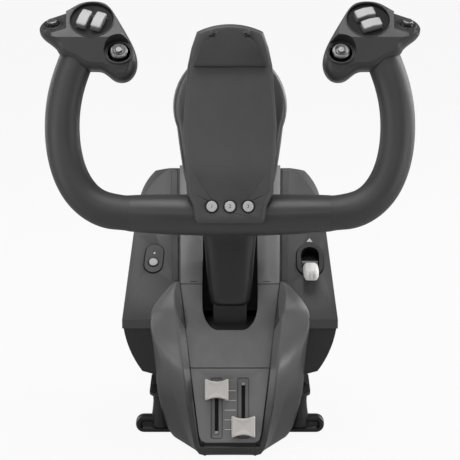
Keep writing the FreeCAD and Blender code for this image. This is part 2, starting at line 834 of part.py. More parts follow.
def pivot_shaft():
    """Steel shaft through the column's foot."""
    start = DATUM.multiply(along(pivot_point(-size("bracket_inner") - size("bracket_thick") - 3), V(1, 0, 0)))
    body = disc_body("pivot_shaft", "Sizes.pivot_shaft_radius",
                     "2 * (Sizes.bracket_inner + Sizes.bracket_thick) + 16", start)
    return body


def pivot_drum():
    """Column foot: a hub on the shaft, a shield that closes the slot, and the neck up into the column."""
    radius = size("drum_radius")
    half = size("drum_half")
    y0 = size("pivot_depth")
    z0 = size("pivot_height")
    disc = rod(radius, pivot_point(-half), pivot_point(half))
    hollow = rod(radius - 3, pivot_point(-half - 1), pivot_point(half + 1))
    shield_angles = (-55, -30, 0, 35, 67)
    wedge = [(y0, z0)] + [(y0 + 90 * math.sin(math.radians(a)), z0 + 90 * math.cos(math.radians(a)))
                          for a in shield_angles]
    shield = disc.cut(hollow).common(side_prism(wedge, -half, half))
    hub_radius = size("pivot_shaft_radius") + 4.5
    hub = rod(hub_radius, pivot_point(-half), pivot_point(half))
    web = side_prism([(y0 - 8, z0), (y0 - 16, z0 + 30), (y0 + 20, z0 + 30), (y0 + 8, z0)], -12, 12)
    neck_half = 17.5
    neck_rear = size("column_rear") - size("wall") - 1
    neck = block(-neck_half, neck_half, y0 - 14, neck_rear, z0 + radius - 8, size("column_foot") + 14)
    body = shield.fuse(hub).fuse(web).fuse(neck).removeSplitter()
    body = body.cut(rod(size("pivot_shaft_radius"), pivot_point(-half - 1), pivot_point(half + 1)))
    return sub_part("pivot_drum", body)


# ---------------------------------------------------------------- column
def column_side(inset):
    """Side outline of the column as (depth, height) pairs."""
    front = size("column_front") + inset
    rear = size("column_rear") - inset
    low = size("column_foot") + inset
    hub = HUB_LOCAL
    radius = size("pear_radius") + 3
    face = -size("column_gap") - inset
    back = -size("column_gap") - size("column_depth") + inset
    points = [(front, low), (front - 1, 150)]
    for y, z in ((-radius, face), (radius, face), (radius, back), (-radius * 0.6, back)):
        point = hub.multVec(V(0, y, z))
        points.append((point.y, point.z))
    points.append((rear - 4, 165))
    points.append((rear, low))
    return points


def column_outline(inset):
    """Front outline of the column in the hub frame: a round head on a tapering neck."""
    radius = size("pear_radius") - inset
    neck = size("column_neck_half") - inset
    foot = size("column_foot_half") - inset
    start = math.radians(-21)
    side = [(radius * math.cos(start), radius * math.sin(start)), (48.5 - inset, -61), (40.5 - inset, -90),
            (27.2 - inset, -115), (neck, -135), (foot, -206), (foot - 1, -215)]
    right = [V(x, y, 0) for x, y in side]
    left = [V(-p.x, p.y, 0) for p in reversed(right)]
    arc = Part.Arc(left[-1], V(0, radius, 0), right[0]).toShape()
    upper = Part.BSplineCurve()
    upper.interpolate(Points=right[:5])
    other = Part.BSplineCurve()
    other.interpolate(Points=left[2:])
    edges = [arc, upper.toShape(), Part.makeLine(right[4], right[5]), Part.makeLine(right[5], right[6]),
             Part.makeLine(right[6], left[0]), Part.makeLine(left[0], left[1]),
             Part.makeLine(left[1], left[2]), other.toShape()]
    return Part.Face(Part.Wire(Part.__sortEdges__(edges)))


def column_solid(inset):
    """The column as the meeting of its front and side outlines."""
    face = column_outline(inset)
    face.translate(V(0, 0, -140))
    front = placed(face.extrude(V(0, 0, 160)), HUB_LOCAL)
    side = side_prism(column_side(inset), -90, 90)
    return front.common(side)


def column_shells():
    """Front and rear column shells around the neck, roll bearings and wiring space."""
    shell = column_solid(0).cut(column_solid(size("wall")))
    axis_start = HUB_LOCAL.multVec(V(0, 0, 10))
    axis_end = HUB_LOCAL.multVec(V(0, 0, -size("column_gap") - size("wall") - 2))
    shell = shell.cut(rod(size("roll_shaft_radius") + 2, axis_start, axis_end))
    y0 = size("pivot_depth")
    gap = size("fit_gap")
    neck_rear = size("column_rear") - size("wall") - 1 + gap
    neck = block(-17.5 - gap, 17.5 + gap, y0 - 14 - gap, neck_rear, 50, size("column_foot") + 8)
    shell = shell.cut(neck)
    middle = -size("column_gap") - size("column_depth") / 2
    head_low = HUB_LOCAL.multVec(V(0, -68, middle))
    head_high = HUB_LOCAL.multVec(V(0, 90, middle))
    split = size("column_split")
    seam = [(split, 0), (split, 140), (head_low.y, head_low.z), (head_high.y, head_high.z)]
    front_side = [(y - gap / 4, z) for y, z in seam] + [(-200, head_high.z), (-200, 0)]
    rear_side = [(y + gap / 4, z) for y, z in seam] + [(300, head_high.z), (300, 0)]
    front = shell.common(side_prism(front_side, -200, 200))
    rear = shell.common(side_prism(rear_side, -200, 200))
    sub_part("column_front", front)
    sub_part("column_back", rear)


def bearing_tube():
    """Tube across the column's head that holds both roll bearings."""
    depth = size("column_depth") - 2 * size("wall") - size("fit_gap")
    wall = 3.0
    outer = size("roll_bearing_radius") + wall
    start = -size("column_gap") - size("wall") - size("fit_gap") / 2
    seat = size("roll_bearing_width")
    bore = size("roll_bearing_radius")
    profile = [(bore, start), (outer, start), (outer, start - depth), (bore, start - depth),
               (bore, start - depth + seat), (bore - 2, start - depth + seat), (bore - 2, start - seat),
               (bore, start - seat)]
    return sub_part("bearing_tube", lathe(profile), HUB)


def roll_bearings():
    """Two bearing rings seated in the tube's ends."""
    depth = size("column_depth") - 2 * size("wall") - size("fit_gap")
    start = -size("column_gap") - size("wall") - size("fit_gap") / 2
    inner = size("roll_shaft_radius") + size("running_gap")
    outer = size("roll_bearing_radius") - 0.02
    width = size("roll_bearing_width")
    rings = []
    for high in (start, start - depth + width):
        rings.append(lathe([(inner, high), (outer, high), (outer, high - width), (inner, high - width)]))
    return sub_part("roll_bearings", Part.makeCompound(rings), HUB)


def roll_spring():
    """Torsion spring around the bearing tube that levels the wheel."""
    radius = size("roll_bearing_radius") + 3 + 1.5
    start = -size("column_gap") - size("column_depth") + size("wall") + 6
    body = coil(radius, 0.8, 2.2, 5, V(0, 0, start), V(0, 0, 1))
    return sub_part("roll_spring", body, HUB)


def sensor_board():
    """Small angle-sensor board below the bearing tube, on two posts of the column's back."""
    floor = -size("column_gap") - size("column_depth") + size("wall")
    back = floor + 3
    front = back + 1.5
    board = block(-16, 16, -48, -19, back, front)
    chip = block(-5, 5, -42, -34, front, front + 1.5)
    plug = block(-10, 10, -47, -42, front, front + 4)
    for x in (-12, 12):
        board = board.fuse(rod(2, V(x, -24, floor), V(x, -24, back)))
    return sub_part("sensor_board", board.fuse(chip).fuse(plug), HUB)


# ---------------------------------------------------------------- electronics and feet
def main_board():
    """Circuit board on posts at the rear of the hull."""
    low = plate_top()
    board = block(-50, 50, 100, 160, low + 8, low + 9.6)
    for x in (-44, 44):
        for y in (106, 154):
            board = board.fuse(rod(2.5, V(x, y, low), V(x, y, low + 8)))
    parts = [(-30, -14, 112, 128, 2.0), (0, 10, 110, 120, 3.0), (18, 40, 140, 150, 6.0),
             (-40, -34, 140, 152, 8.0)]
    for x_low, x_high, y_low, y_high, tall in parts:
        board = board.fuse(block(x_low, x_high, y_low, y_high, low + 9.6, low + 9.6 + tall))
    return sub_part("main_board", board.removeSplitter())


def port_panel():
    """Rear socket plate: square data socket, pedal socket and a round one."""
    rear = size("rear_face")
    plate = block(-32, 32, rear - 3, rear - 0.5, 18, 38)
    flange = block(-35, 35, rear - 4.2, rear - 3, 15.5, 40.5)
    shape = plate.fuse(flange)
    shape = shape.fuse(block(-27, -11, rear - 15, rear - 4, 22, 34))
    shape = shape.fuse(block(-5, 11, rear - 17, rear - 4, 21, 35))
    shape = shape.fuse(rod(4.5, V(22, rear - 15, 28), V(22, rear - 4, 28)))
    shape = shape.cut(block(-25, -13, rear - 13, rear + 2, 24, 32))
    shape = shape.cut(block(-3, 9, rear - 14, rear + 2, 23, 33))
    shape = shape.cut(rod(size("jack_radius"), V(22, rear - 13, 28), V(22, rear + 2, 28)))
    return sub_part("port_panel", shape.removeSplitter())


def rubber_feet():
    """Four corner pads and a middle strip under the hull, which bear on the desk."""
    pads = []
    for x in (-52, 52):
        for y in (66, 172):
            foot = rounded_block(30, 12, 0, size("foot_rise"), 5)
            pads.append(placed(foot, at(x, y, 0)))
    strip = rounded_block(60, 16, 0, size("foot_rise"), 7)
    pads.append(placed(strip, at(0, size("desk_centre"), 0)))
    return sub_part("rubber_feet", Part.makeCompound(pads))


# ---------------------------------------------------------------- deck controls
def guide_bezel():
    """Pill-shaped bezel with a button hole and a lamp hole."""
    width = size("guide_width")
    length = size("guide_length")
    body = rounded_block(width, length, 0, 1.2, width / 2)
    body = body.fuse(rounded_block(width - 4.8, length - 4.8, -6, 0, width / 2))
    body = body.cut(rod(size("guide_button_radius") + size("button_gap"), V(0, -5.2, -7), V(0, -5.2, 3)))
    body = body.cut(rod(1.3, V(0, 6.4, -7), V(0, 6.4, 3)))
    return sub_part("guide_bezel", body.removeSplitter(), DATUM.multiply(guide_place()))


def guide_button():
    """Round guide button in its bezel."""
    spot = DATUM.multiply(guide_place()).multiply(at(0, -5.2, -5))
    return disc_body("guide_button", "Sizes.guide_button_radius", "7", spot, edge="0.8")


def gear_bezel():
    """Oval bezel with the gear lever's gate."""
    width = size("gear_width")
    length = size("gear_length")
    body = rounded_block(width, length, 0, 2, width / 2)
    body = body.fuse(rounded_block(width - 5.8, length - 5.8, -14, 0, width / 2))
    gate = rounded_block(width - 9, length - 9, -12, 3, width / 2)
    body = body.cut(gate)
    return sub_part("gear_bezel", body.removeSplitter(), DATUM.multiply(gear_place()))


def gear_lever():
    """Landing-gear lever: a fork from its pin, and a ribbed wheel-shaped knob that leans down the deck."""
    lean = size("gear_lean")
    pin = Part.makeCylinder(2.5, 17, V(-8.5, 0, 0), V(1, 0, 0))
    arm = block(-5.2, -2.8, -2, 2, 0, 22).fuse(block(2.8, 5.2, -2, 2, 0, 22))
    arm = arm.fuse(block(-5.2, 5.2, -2.4, 2.4, 0, 6))
    arm = arm.fuse(block(-5.2, 5.2, -2.4, 2.4, 18, 22))
    knob = rounded_block(13.8, 11, 20, 38, 4)
    ribs = [Part.makeBox(13.8 - 4, 1.2, 17, V(-6.9 + 2, -6.2 + 0.1, 20.5)),
            Part.makeBox(1.2, 12, 17, V(-4.1, -6.1, 20.5)), Part.makeBox(1.2, 12, 17, V(2.9, -6.1, 20.5)),
            Part.makeBox(1.2, 12, 17, V(-0.6, -6.1, 20.5))]
    for rib in ribs:
        knob = knob.fuse(rib)
    body = pin.fuse(arm).fuse(knob).removeSplitter()
    spot = DATUM.multiply(gear_place()).multiply(at(0, 0, -6, V(1, 0, 0), lean))
    return sub_part("gear_lever", body, spot)


def sliders():
    """Two slider knobs, each with its stem through the panel."""
    width = size("slider_width")
    length = size("slider_length")
    bite = (length - size("slider_waist")) / 2
    for side, label in ((-1, "slider_left"), (1, "slider_right")):
        knob = rounded_block(width, length, 1.2, size("slider_height"), 3)
        radius = (width * width / 4 + bite * bite) / (2 * bite)
        for end in (-1, 1):
            hollow = Part.makeCylinder(radius, 40, V(0, end * (length / 2 - bite + radius), -5))
            knob = knob.cut(hollow)
        top = size("slider_height")
        knob = soften(knob, 1.5, lambda e: e.BoundBox.ZMin > top - 0.01)
        stem = block(-size("stem_width") / 2, size("stem_width") / 2, -3, 3, -8, 2)
        spot = NOSE.multiply(slider_place(side))
        sub_part(label, knob.fuse(stem), spot)


def slide_pots():
    """Two slide potentiometers behind the slider panel, open along their channels."""
    bodies = []
    middle = -(size("slider_top") + size("slider_travel") / 2)
    length = size("slider_travel") + 26
    face = -size("panel_thick") - 0.05
    for side in (-1, 1):
        case = rounded_block(10, length, -14, face, 1)
        channel = rounded_block(size("stem_width") + 1, size("slider_travel") + 10, -9, 2, 1)
        bodies.append(placed(case.cut(channel), at(side * size("slider_offset"), middle, 0)))
    return sub_part("slide_pots", Part.makeCompound(bodies), NOSE)


# ---------------------------------------------------------------- desk clamps
def clamps():
    """Two desk clamps: a steel jaw with a rubber pad, and a wing knob moulded on its screw."""
    throat = -size("clamp_throat")
    pad_low = throat - size("pad_thick")
    jaw_low = pad_low - size("jaw_thick")
    y0 = size("clamp_depth")
    radius = size("jaw_width") / 2
    screw = size("screw_radius")
    for side, name in ((-1, "left"), (1, "right")):
        x = side * size("clamp_offset")
        jaw = block(x - radius, x + radius, y0, size("jaw_rear"), jaw_low, pad_low)
        jaw = jaw.fuse(rod(radius, V(x, y0, jaw_low), V(x, y0, pad_low)))
        jaw = soften(jaw.removeSplitter(), 4, lambda e: abs(e.tangentAt(e.FirstParameter).z) > 0.99
                     and e.CenterOfMass.y > size("jaw_rear") - 1)
        jaw = jaw.cut(rod(screw + size("fit_gap"), V(x, y0, jaw_low - 1), V(x, y0, pad_low + 1)))
        sub_part("clamp_jaw_" + name, jaw)
        middle = (y0 + 18 + size("jaw_rear") - 2) / 2
        length = size("jaw_rear") - 2 - (y0 + 18)
        cushion = placed(rounded_block(2 * radius - 4, length, pad_low, throat, 4), at(x, middle, 0))
        sub_part("jaw_pad_" + name, cushion)
        top = jaw_low - size("fit_gap")
        hub_low = top - 24
        low = hub_low - size("wing_height")
        half = size("wing_span") / 2
        shaft = rod(screw, V(x, y0, hub_low), V(x, y0, size("rim_height") - 8))
        hub = rod(size("knob_hub_radius"), V(x, y0, hub_low - 1), V(x, y0, top))
        wings = front_prism([(x - half, low + 4), (x - half + 4, low), (x + half - 4, low), (x + half, low + 4),
                             (x + half, hub_low - 6), (x + half - 6, hub_low), (x + 13, hub_low),
                             (x + 8, hub_low + 6), (x - 8, hub_low + 6), (x - 13, hub_low),
                             (x - half + 6, hub_low), (x - half, hub_low - 6)], y0 - 6, y0 + 6)
        sub_part("clamp_knob_" + name, hub.fuse(wings).fuse(shaft).removeSplitter())


# ---------------------------------------------------------------- wheel: tube and grips
def bar_section(x, drop, radius):
    """A round section of the bar at one distance from the middle."""
    return Part.Wire([Part.Circle(V(x, -drop, 0), V(1, 0, 0), radius).toShape()])


def bar_form(inset):
    """The centre bar's outer form, or its bore."""
    half = size("bar_half")
    drop = size("bar_drop")
    end = size("bar_end_radius") - inset
    middle = size("bar_radius") - inset
    shoulder = middle - 0.25 * (middle - end)
    sections = [bar_section(-half, drop - 1.9, end), bar_section(-half * 0.6, drop - 0.9, shoulder),
                bar_section(0, drop, middle),
                bar_section(half * 0.6, drop - 0.9, shoulder), bar_section(half, drop - 1.9, end)]
    return Part.makeLoft(sections, True, False)


def centre_bar():
    """Hollow bar with the plate that bolts to the roll shaft's flange."""
    spine = block(-17, 17, -size("bar_drop"), 20, -13.2, -8.5)
    spine = soften(spine, 8, lambda e: abs(e.tangentAt(e.FirstParameter).z) > 0.99 and e.CenterOfMass.y > 0)
    body = bar_form(0).fuse(spine).cut(bar_form(size("grip_wall")))
    return sub_part("centre_bar", body.removeSplitter(), HUB)


GRIP_PATH = [(-100, -109.4), (-116, -107.6), (-132, -102.6), (-146, -92.0), (-157.8, -74), (-165, -51),
             (-167.6, -26), (-166.2, -1), (-161.6, 20.5), (-156.6, 35.5), (-152.5, 46.0)]


def grip_form(inset):
    """A grip's outer form or bore: round sections square to its bent centreline."""
    sections = []
    last = len(GRIP_PATH) - 1
    reach = size("bar_half") - 100.0
    for i, (x, y) in enumerate(GRIP_PATH):
        before = GRIP_PATH[max(i - 1, 0)]
        after = GRIP_PATH[min(i + 1, last)]
        tangent = V(after[0] - before[0], after[1] - before[1], 0)
        if i == 0:
            tangent = V(-1, 0, 0)
        blend = min(i / 3, 1.0)
        radius = size("bar_end_radius") * (1 - blend) + size("grip_radius") * blend - inset
        centre = V(x - reach, y - (size("bar_drop") - 111.3), 0)
        sections.append(Part.Wire([Part.Circle(centre, tangent, radius).toShape()]))
    return Part.makeLoft(sections, True, False)


def grips():
    """Left and right grips, each a bent tube up to its horn."""
    shift = size("fit_gap") / 3
    body = grip_form(0).cut(grip_form(size("grip_wall")))
    body.translate(V(-shift, 0, 0))
    sub_part("grip_left", body, HUB)
    sub_part("grip_right", mirrored(body), HUB)


# ---------------------------------------------------------------- wheel: hub casing
def hub_outline(inset):
    """Front outline of the hub casing."""
    right = [(32.7, 69.6), (38.2, 53.3), (41.9, 35.6), (43.8, 7.0), (46.1, -22.5), (44.4, -61.9),
             (42.7, -89.5), (36.7, -101.3), (34.6, -115.6), (31.5, -119.4)]
    right = [V(x - inset, y - inset if y > 60 else (y + inset if y < -110 else y), 0) for x, y in right]
    left = [V(-p.x, p.y, 0) for p in reversed(right)]
    points = right + left
    edges = [Part.Arc(left[-1], V(0, 77.2 - inset, 0), right[0]).toShape()]
    for one, other in zip(points[:-1], points[1:]):
        edges.append(Part.makeLine(one, other))
    return Part.Face(Part.Wire(edges))


def hub_form(inset, low, high):
    """The hub outline between two planes."""
    face = hub_outline(inset)
    face.translate(V(0, 0, low))
    return face.extrude(V(0, 0, high - low))


def bar_clearance(gap):
    """The room the bar takes in the hub casing."""
    reach = 70
    return rod(size("bar_radius") + gap, V(-reach, -size("bar_drop"), 0), V(reach, -size("bar_drop"), 0))


def hub_button_places():
    """Centres of the three hub buttons."""
    pitch = size("hub_button_pitch")
    return [(x, -size("hub_button_drop")) for x in (-pitch, 0, pitch)]


def hub_cover():
    """Front cover of the hub: bevelled rim, clip seat, button holes and saddle for the bar."""
    high = size("hub_front")
    wall = size("hub_wall")
    outer = hub_form(0, 0, high)
    outer = outer.makeChamfer(3.2, [e for e in outer.Edges if e.BoundBox.ZMin > high - 0.01])
    shell = outer.cut(hub_form(wall, -1, high - wall))
    shell = shell.cut(bar_clearance(size("fit_gap")))
    for x, y in hub_button_places():
        hole = rod(size("hub_button_radius") + size("button_gap"), V(x, y, high - 10), V(x, y, high + 5))
        shell = shell.cut(hole)
    hinge = size("clip_hinge")
    ear = block(-20, -17, hinge - 2.5, hinge + 2.5, high - wall, high + size("clip_lift") + 3)
    shell = shell.fuse(ear).fuse(mirrored(ear))
    pin_height = high + size("clip_lift") + 1
    pin = rod(1.0, V(-18, hinge, pin_height), V(18, hinge, pin_height))
    return sub_part("hub_cover", shell.fuse(pin), HUB)


def hub_back():
    """Rear cover of the hub around the roll shaft and the bar."""
    low = -size("hub_back")
    wall = size("hub_wall")
    outer = hub_form(0, low, -size("fit_gap") / 2)
    outer = outer.makeChamfer(2.5, [e for e in outer.Edges if e.BoundBox.ZMax < low + 0.01])
    shell = outer.cut(hub_form(wall, low + wall, 1))
    shell = shell.cut(bar_clearance(size("fit_gap")))
    shell = shell.cut(rod(size("roll_shaft_radius") + 0.3, V(0, 0, low - 1), V(0, 0, low + wall + 1)))
    return sub_part("hub_back", shell, HUB)


def roll_shaft():
    """Shaft of the wheel with the flange that bolts to the bar's plate."""
    depth = size("column_depth") - 2 * size("wall")
    tail = -size("column_gap") - size("wall") - depth + 2
    radius = size("roll_shaft_radius")
    profile = [(0, tail), (radius, tail), (radius, -16.5), (15, -16.5), (15, -13.2), (0, -13.2)]
    return sub_part("roll_shaft", lathe(profile), HUB)


def document_clip():
    """Spring clip on the hub: an arched plate with knuckles at its top and a lip at its bottom."""
    low = size("hub_front") + size("clip_lift")
    high = low + size("clip_thick")
    right = [(36.0, 34.6), (34.5, 38.5), (25.8, 57.3), (15.8, 65.6)]
    points = [V(x, y, low) for x, y in right] + [V(-x, y, low) for x, y in reversed(right)]
    edges = [Part.Arc(points[4], V(0, 72.6, low), points[3]).toShape()]
    order = points[:4]
    for one, other in zip(order[:-1], order[1:]):
        edges.append(Part.makeLine(one, other))
    mirror = points[4:]
    for one, other in zip(mirror[:-1], mirror[1:]):
        edges.append(Part.makeLine(one, other))
    edges.append(Part.makeLine(points[7], points[0]))
    plate = Part.Face(Part.Wire(Part.__sortEdges__(edges))).extrude(V(0, 0, size("clip_thick")))
    lip = block(-34.5, 34.5, 34.6, 38.0, size("hub_front") + size("fit_gap"), low + 0.5)
    hinge = size("clip_hinge")
    middle = low + 1
    body = plate.fuse(lip).cut(block(-20.6, -14.6, hinge - 5, hinge + 9, low - 5, high + 5))
    body = body.cut(block(14.6, 20.6, hinge - 5, hinge + 9, low - 5, high + 5))
    body = body.cut(rod(1.1, V(-30, hinge, middle), V(30, hinge, middle)))
    return sub_part("document_clip", body.removeSplitter(), HUB)


def hub_buttons():
    """Three round menu buttons along the hub's lower edge."""
    for (x, y), name in zip(hub_button_places(), ("left", "middle", "right")):
        spot = HUB.multiply(at(x, y, size("hub_front") - 5.2))
        disc_body("hub_button_" + name, "Sizes.hub_button_radius", "7", spot, edge="0.7")


# ---------------------------------------------------------------- wheel: horns
HORN_OUTLINE = [(-171.4, 51.4), (-180.5, 60.5), (-188.6, 68.5), (-188.0, 79.5), (-178.1, 86.6),
                (-162.8, 93.2), (-150.4, 100.6), (-137.5, 103.0), (-124.5, 100.2), (-115.0, 89.0), (-103.6, 69.8),
                (-95.2, 52.5), (-94.0, 33.5), (-102.5, 22.8), (-114.0, 22.6), (-121.0, 27.4), (-128.0, 31.8),
                (-142.0, 33.0), (-157.0, 41.0)]


def horn_section(inset, z):
    """A horn outline moved inwards by an inset, at one depth."""
    count = len(HORN_OUTLINE)
    points = []
    for i, (x, y) in enumerate(HORN_OUTLINE):
        before = HORN_OUTLINE[i - 1]
        after = HORN_OUTLINE[(i + 1) % count]
        run = (after[0] - before[0], after[1] - before[1])
        length = math.hypot(*run)
        points.append((x + inset * run[1] / length, y - inset * run[0] / length, z))
    return spline_wire(points)


def horn_form(inset):
    """A horn's outer form, or its cavity: inset sections that round it off at front and back."""
    front = size("horn_front") - inset
    back = -size("horn_back") + inset
    stations = [(9.0, back), (3.5, back + 4), (0.5, back + 10), (0.0, 0.0), (0.6, front - 9),
                (3.2, front - 3.5), (8.0, front)]
    wires = [horn_section(rounding + inset, z) for rounding, z in stations]
    return Part.makeLoft(wires, True, False)


def well_frame(side=-1):
    """Frame of the tilted button well on a horn's face."""
    return at(side * 137.5, 83.5, 8.0, V(1, 0, 0), -size("well_tilt"))


def lobe_frame(side=-1):
    """Frame of the outer thumb button's pad."""
    turn = FreeCAD.Rotation(V(1, 0, 0), -54).multiply(FreeCAD.Rotation(V(0, 1, 0), side * 8))
    return FreeCAD.Placement(V(side * 176.5, 79.0, 4.0), turn)


def hat_frame(side=-1):
    """Frame of the thumb hat's seat."""
    return at(side * 110.0, 50.0, 17.0, V(1, 0, 0), -size("hat_tilt"))


def key_frames(side):
    """Frames of the two face keys in a well: side by side on the left, stacked on the right."""
    well = well_frame(side)
    if side < 0:
        spots = [(-7.5, 0.5, -20.0), (7.0, -2.5, -20.0)]
    else:
        spots = [(-3.0, 6.5, -72.0), (3.0, -7.0, -72.0)]
    return [well.multiply(at(x, y, 0, V(0, 0, 1), turn)) for x, y, turn in spots]


def horns():
    """Horn casings: front and rear shells with their wells and seats."""
    shell = horn_form(0)
    cavity = horn_form(size("horn_wall"))
    wall = size("horn_wall")
    well = well_frame()
    lobe = lobe_frame()
    hat = hat_frame()
    depth = size("well_depth")
    seat = 15
    cutters = [(block(-40, 40, -24, 40, 0, 60), well), (block(-14, 14, -16, 40, 0, 40), lobe),
               (rod(seat, V(0, 0, 0), V(0, 0, 30)), hat),
               (rod(size("well_radius"), V(0, 0, -depth), V(0, 0, 10)), well)]
    for cutter, frame in cutters:
        shell = shell.cut(placed(cutter, frame))
    keepers = [(block(-60, 60, -24 - wall, 60, -wall, 60), well),
               (block(-14 - wall, 14 + wall, -16 - wall, 60, -wall, 60), lobe),
               (rod(seat + wall, V(0, 0, -wall), V(0, 0, 40)), hat),
               (rod(size("well_radius") + wall, V(0, 0, -depth - wall), V(0, 0, 20)), well)]
    for keeper, frame in keepers:
        cavity = cavity.cut(placed(keeper, frame))
    shell = shell.cut(cavity).cut(grip_form(-size("fit_gap")))
    gap = size("button_gap")
    left = cut_key_holes(shell, -1, gap)
    right = cut_key_holes(mirrored(shell), 1, gap)
    for body, name in ((left, "left"), (right, "right")):
        front = body.common(block(-250, 250, -50, 200, size("fit_gap") / 4, 60))
        back = body.common(block(-250, 250, -50, 200, -60, -size("fit_gap") / 4))
        sub_part("horn_front_" + name, front, HUB)
        sub_part("horn_back_" + name, back, HUB)


def cut_key_holes(shell, side, gap):
    """Holes for the keys, thumb button and hat of one horn."""
    for frame in key_frames(side):
        hole = rounded_block(size("key_width") + 2 * gap, size("key_length") + 2 * gap,
                             -size("key_depth") - 1, 9, 2.4)
        shell = shell.cut(placed(hole, frame))
    thumb = rod(size("thumb_radius") + gap, V(0, 0, -6), V(0, 0, 9))
    shell = shell.cut(placed(thumb, lobe_frame(side)))
    hat = rod(size("hat_radius") + size("hat_room"), V(0, 0, -11), V(0, 0, 9))
    return shell.cut(placed(hat, hat_frame(side)))


def keys():
    """Four face keys, two in each well, each with a ridge across its middle."""
    number = 0
    for side in (-1, 1):
        for frame in key_frames(side):
            number += 1
            length = size("key_length")
            top = size("key_height")
            body = rounded_block(size("key_width"), length, -size("key_depth"), top, 2.1)
            slope = math.tan(math.radians(9))
            for end in (-1, 1):
                wedge = side_prism([(0, top), (end * length, top - length * slope), (end * length, 20), (0, 20)],
                                   -20, 20)
                body = body.cut(wedge)
            sub_part("face_key_%d" % number, body, HUB.multiply(frame))


def thumb_buttons():
    """Outer push buttons on the horns' lobes, each with a stepped collar."""
    for side, name in ((-1, "left"), (1, "right")):
        radius = size("thumb_radius")
        top = size("thumb_height")
        profile = [(0, -5), (radius, -5), (radius, 1.0), (radius - 0.8, 1.6), (radius - 0.8, top - 0.6),
                   (radius - 2.2, top), (0, top)]
        sub_part("thumb_button_" + name, lathe(profile), HUB.multiply(lobe_frame(side)))


def thumb_hats():
    """Thumb hats: a gimbal ring that tilts sideways and a cap that tilts up and down."""
    for side, name in ((-1, "left"), (1, "right")):
        place = HUB.multiply(hat_frame(side))
        radius = size("hat_radius")
        pivot = -size("hat_pivot")
        ring = lathe([(5.2, pivot - 2), (7.2, pivot - 2), (7.2, pivot + 2), (5.2, pivot + 2)])
        reach = radius + size("hat_room") - size("fit_gap")
        for end in (-1, 1):
            ring = ring.fuse(rod(0.8, V(0, end * 6.2, pivot), V(0, end * reach, pivot)))
        sub_part("hat_ring_" + name, ring, place)
        cap = lathe([(0, -8), (4.4, -8), (4.4, -3.0), (radius - 2, -1.4), (radius - 0.4, 0.2), (radius, 2.2),
                     (radius - 0.9, 3.6), (radius - 2.0, 3.9), (4.6, 3.0), (3.85, 3.2), (3.7, 4.7), (2.9, 5.3),
                     (0, 5.4)])
        pins = rod(0.8, V(-5.0, 0, pivot), V(5.0, 0, pivot))
        sub_part("hat_cap_" + name, cap.fuse(pins), place)


# ---------------------------------------------------------------- build and write
def build_all():
    """Make every sub-part."""
    for make in (lower_hull, housing, centre_cover, nose_cowl, nose_panel, slider_panel, slot_liner,
                 chassis_plate, pivot_brackets, pivot_bearings, pitch_spring, pivot_shaft, pivot_drum,
                 column_shells, bearing_tube, roll_bearings, roll_spring, sensor_board, main_board,
                 port_panel, rubber_feet, guide_bezel, guide_button, gear_bezel, gear_lever, sliders,
                 slide_pots, clamps, centre_bar, grips, hub_cover, hub_back, roll_shaft, document_clip,
                 hub_buttons, horns, keys, thumb_buttons, thumb_hats):
        make()
    doc.recompute()


def write_all():
    """Check every object and write each sub-part's shape."""
    for thing in doc.Objects:
        for word in ("Invalid", "Error"):
            if word in thing.State:
                raise RuntimeError("%s is %s" % (thing.Label, word))
    os.makedirs("parts", exist_ok=True)
    for piece in NODES:
        shape = piece.Shape
        if shape.isNull() or not shape.isValid():
            raise RuntimeError("%s has no valid shape" % piece.Label)
        shape.exportStep(os.path.join("parts", piece.Label + ".step"))
        print("%-22s solids %d  volume %10.1f  faces %d" % (piece.Label, len(shape.Solids), shape.Volume,
                                                            len(shape.Faces)))


build_all()
write_all()
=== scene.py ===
"""Looks of a desk-mounted flight yoke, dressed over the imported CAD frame.  Metres, row frame."""
import math

import bmesh
import bpy
from mathutils import Matrix, Vector


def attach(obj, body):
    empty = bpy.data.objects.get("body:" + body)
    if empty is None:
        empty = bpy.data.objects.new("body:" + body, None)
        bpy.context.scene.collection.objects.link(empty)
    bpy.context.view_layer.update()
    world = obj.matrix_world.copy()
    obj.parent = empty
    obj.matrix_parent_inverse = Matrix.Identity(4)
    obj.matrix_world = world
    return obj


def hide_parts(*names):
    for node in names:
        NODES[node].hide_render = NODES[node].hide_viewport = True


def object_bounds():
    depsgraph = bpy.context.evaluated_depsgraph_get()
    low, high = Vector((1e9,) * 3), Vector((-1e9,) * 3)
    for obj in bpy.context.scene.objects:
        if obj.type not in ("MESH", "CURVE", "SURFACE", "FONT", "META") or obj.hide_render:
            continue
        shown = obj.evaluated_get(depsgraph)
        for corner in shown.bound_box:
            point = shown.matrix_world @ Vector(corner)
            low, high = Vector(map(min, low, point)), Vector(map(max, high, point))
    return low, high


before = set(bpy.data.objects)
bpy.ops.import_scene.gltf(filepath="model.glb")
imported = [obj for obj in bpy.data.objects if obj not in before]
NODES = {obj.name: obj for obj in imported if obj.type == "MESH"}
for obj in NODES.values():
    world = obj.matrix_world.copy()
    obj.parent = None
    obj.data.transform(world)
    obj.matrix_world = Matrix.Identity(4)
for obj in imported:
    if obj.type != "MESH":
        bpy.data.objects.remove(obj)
cad_low, cad_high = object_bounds()
MM = 0.001


# ---------------------------------------------------------------- frames

def tilted(origin, angle):
    """Frame turned about X: its y runs up the slope, its z out of it."""
    return Matrix.Translation(Vector(origin)) @ Matrix.Rotation(math.radians(angle), 4, "X")


HUB = tilted((0, -0.1124, 0.2937), 75)
DECK = tilted((0, -0.095, 0.0615), 41.7)
NOSE = tilted((0, -0.119, 0.017), 70.25)


# ---------------------------------------------------------------- materials

def linear(value):
    """sRGB 0-1 to linear."""
    return value / 12.92 if value <= 0.04045 else ((value + 0.055) / 1.055) ** 2.4


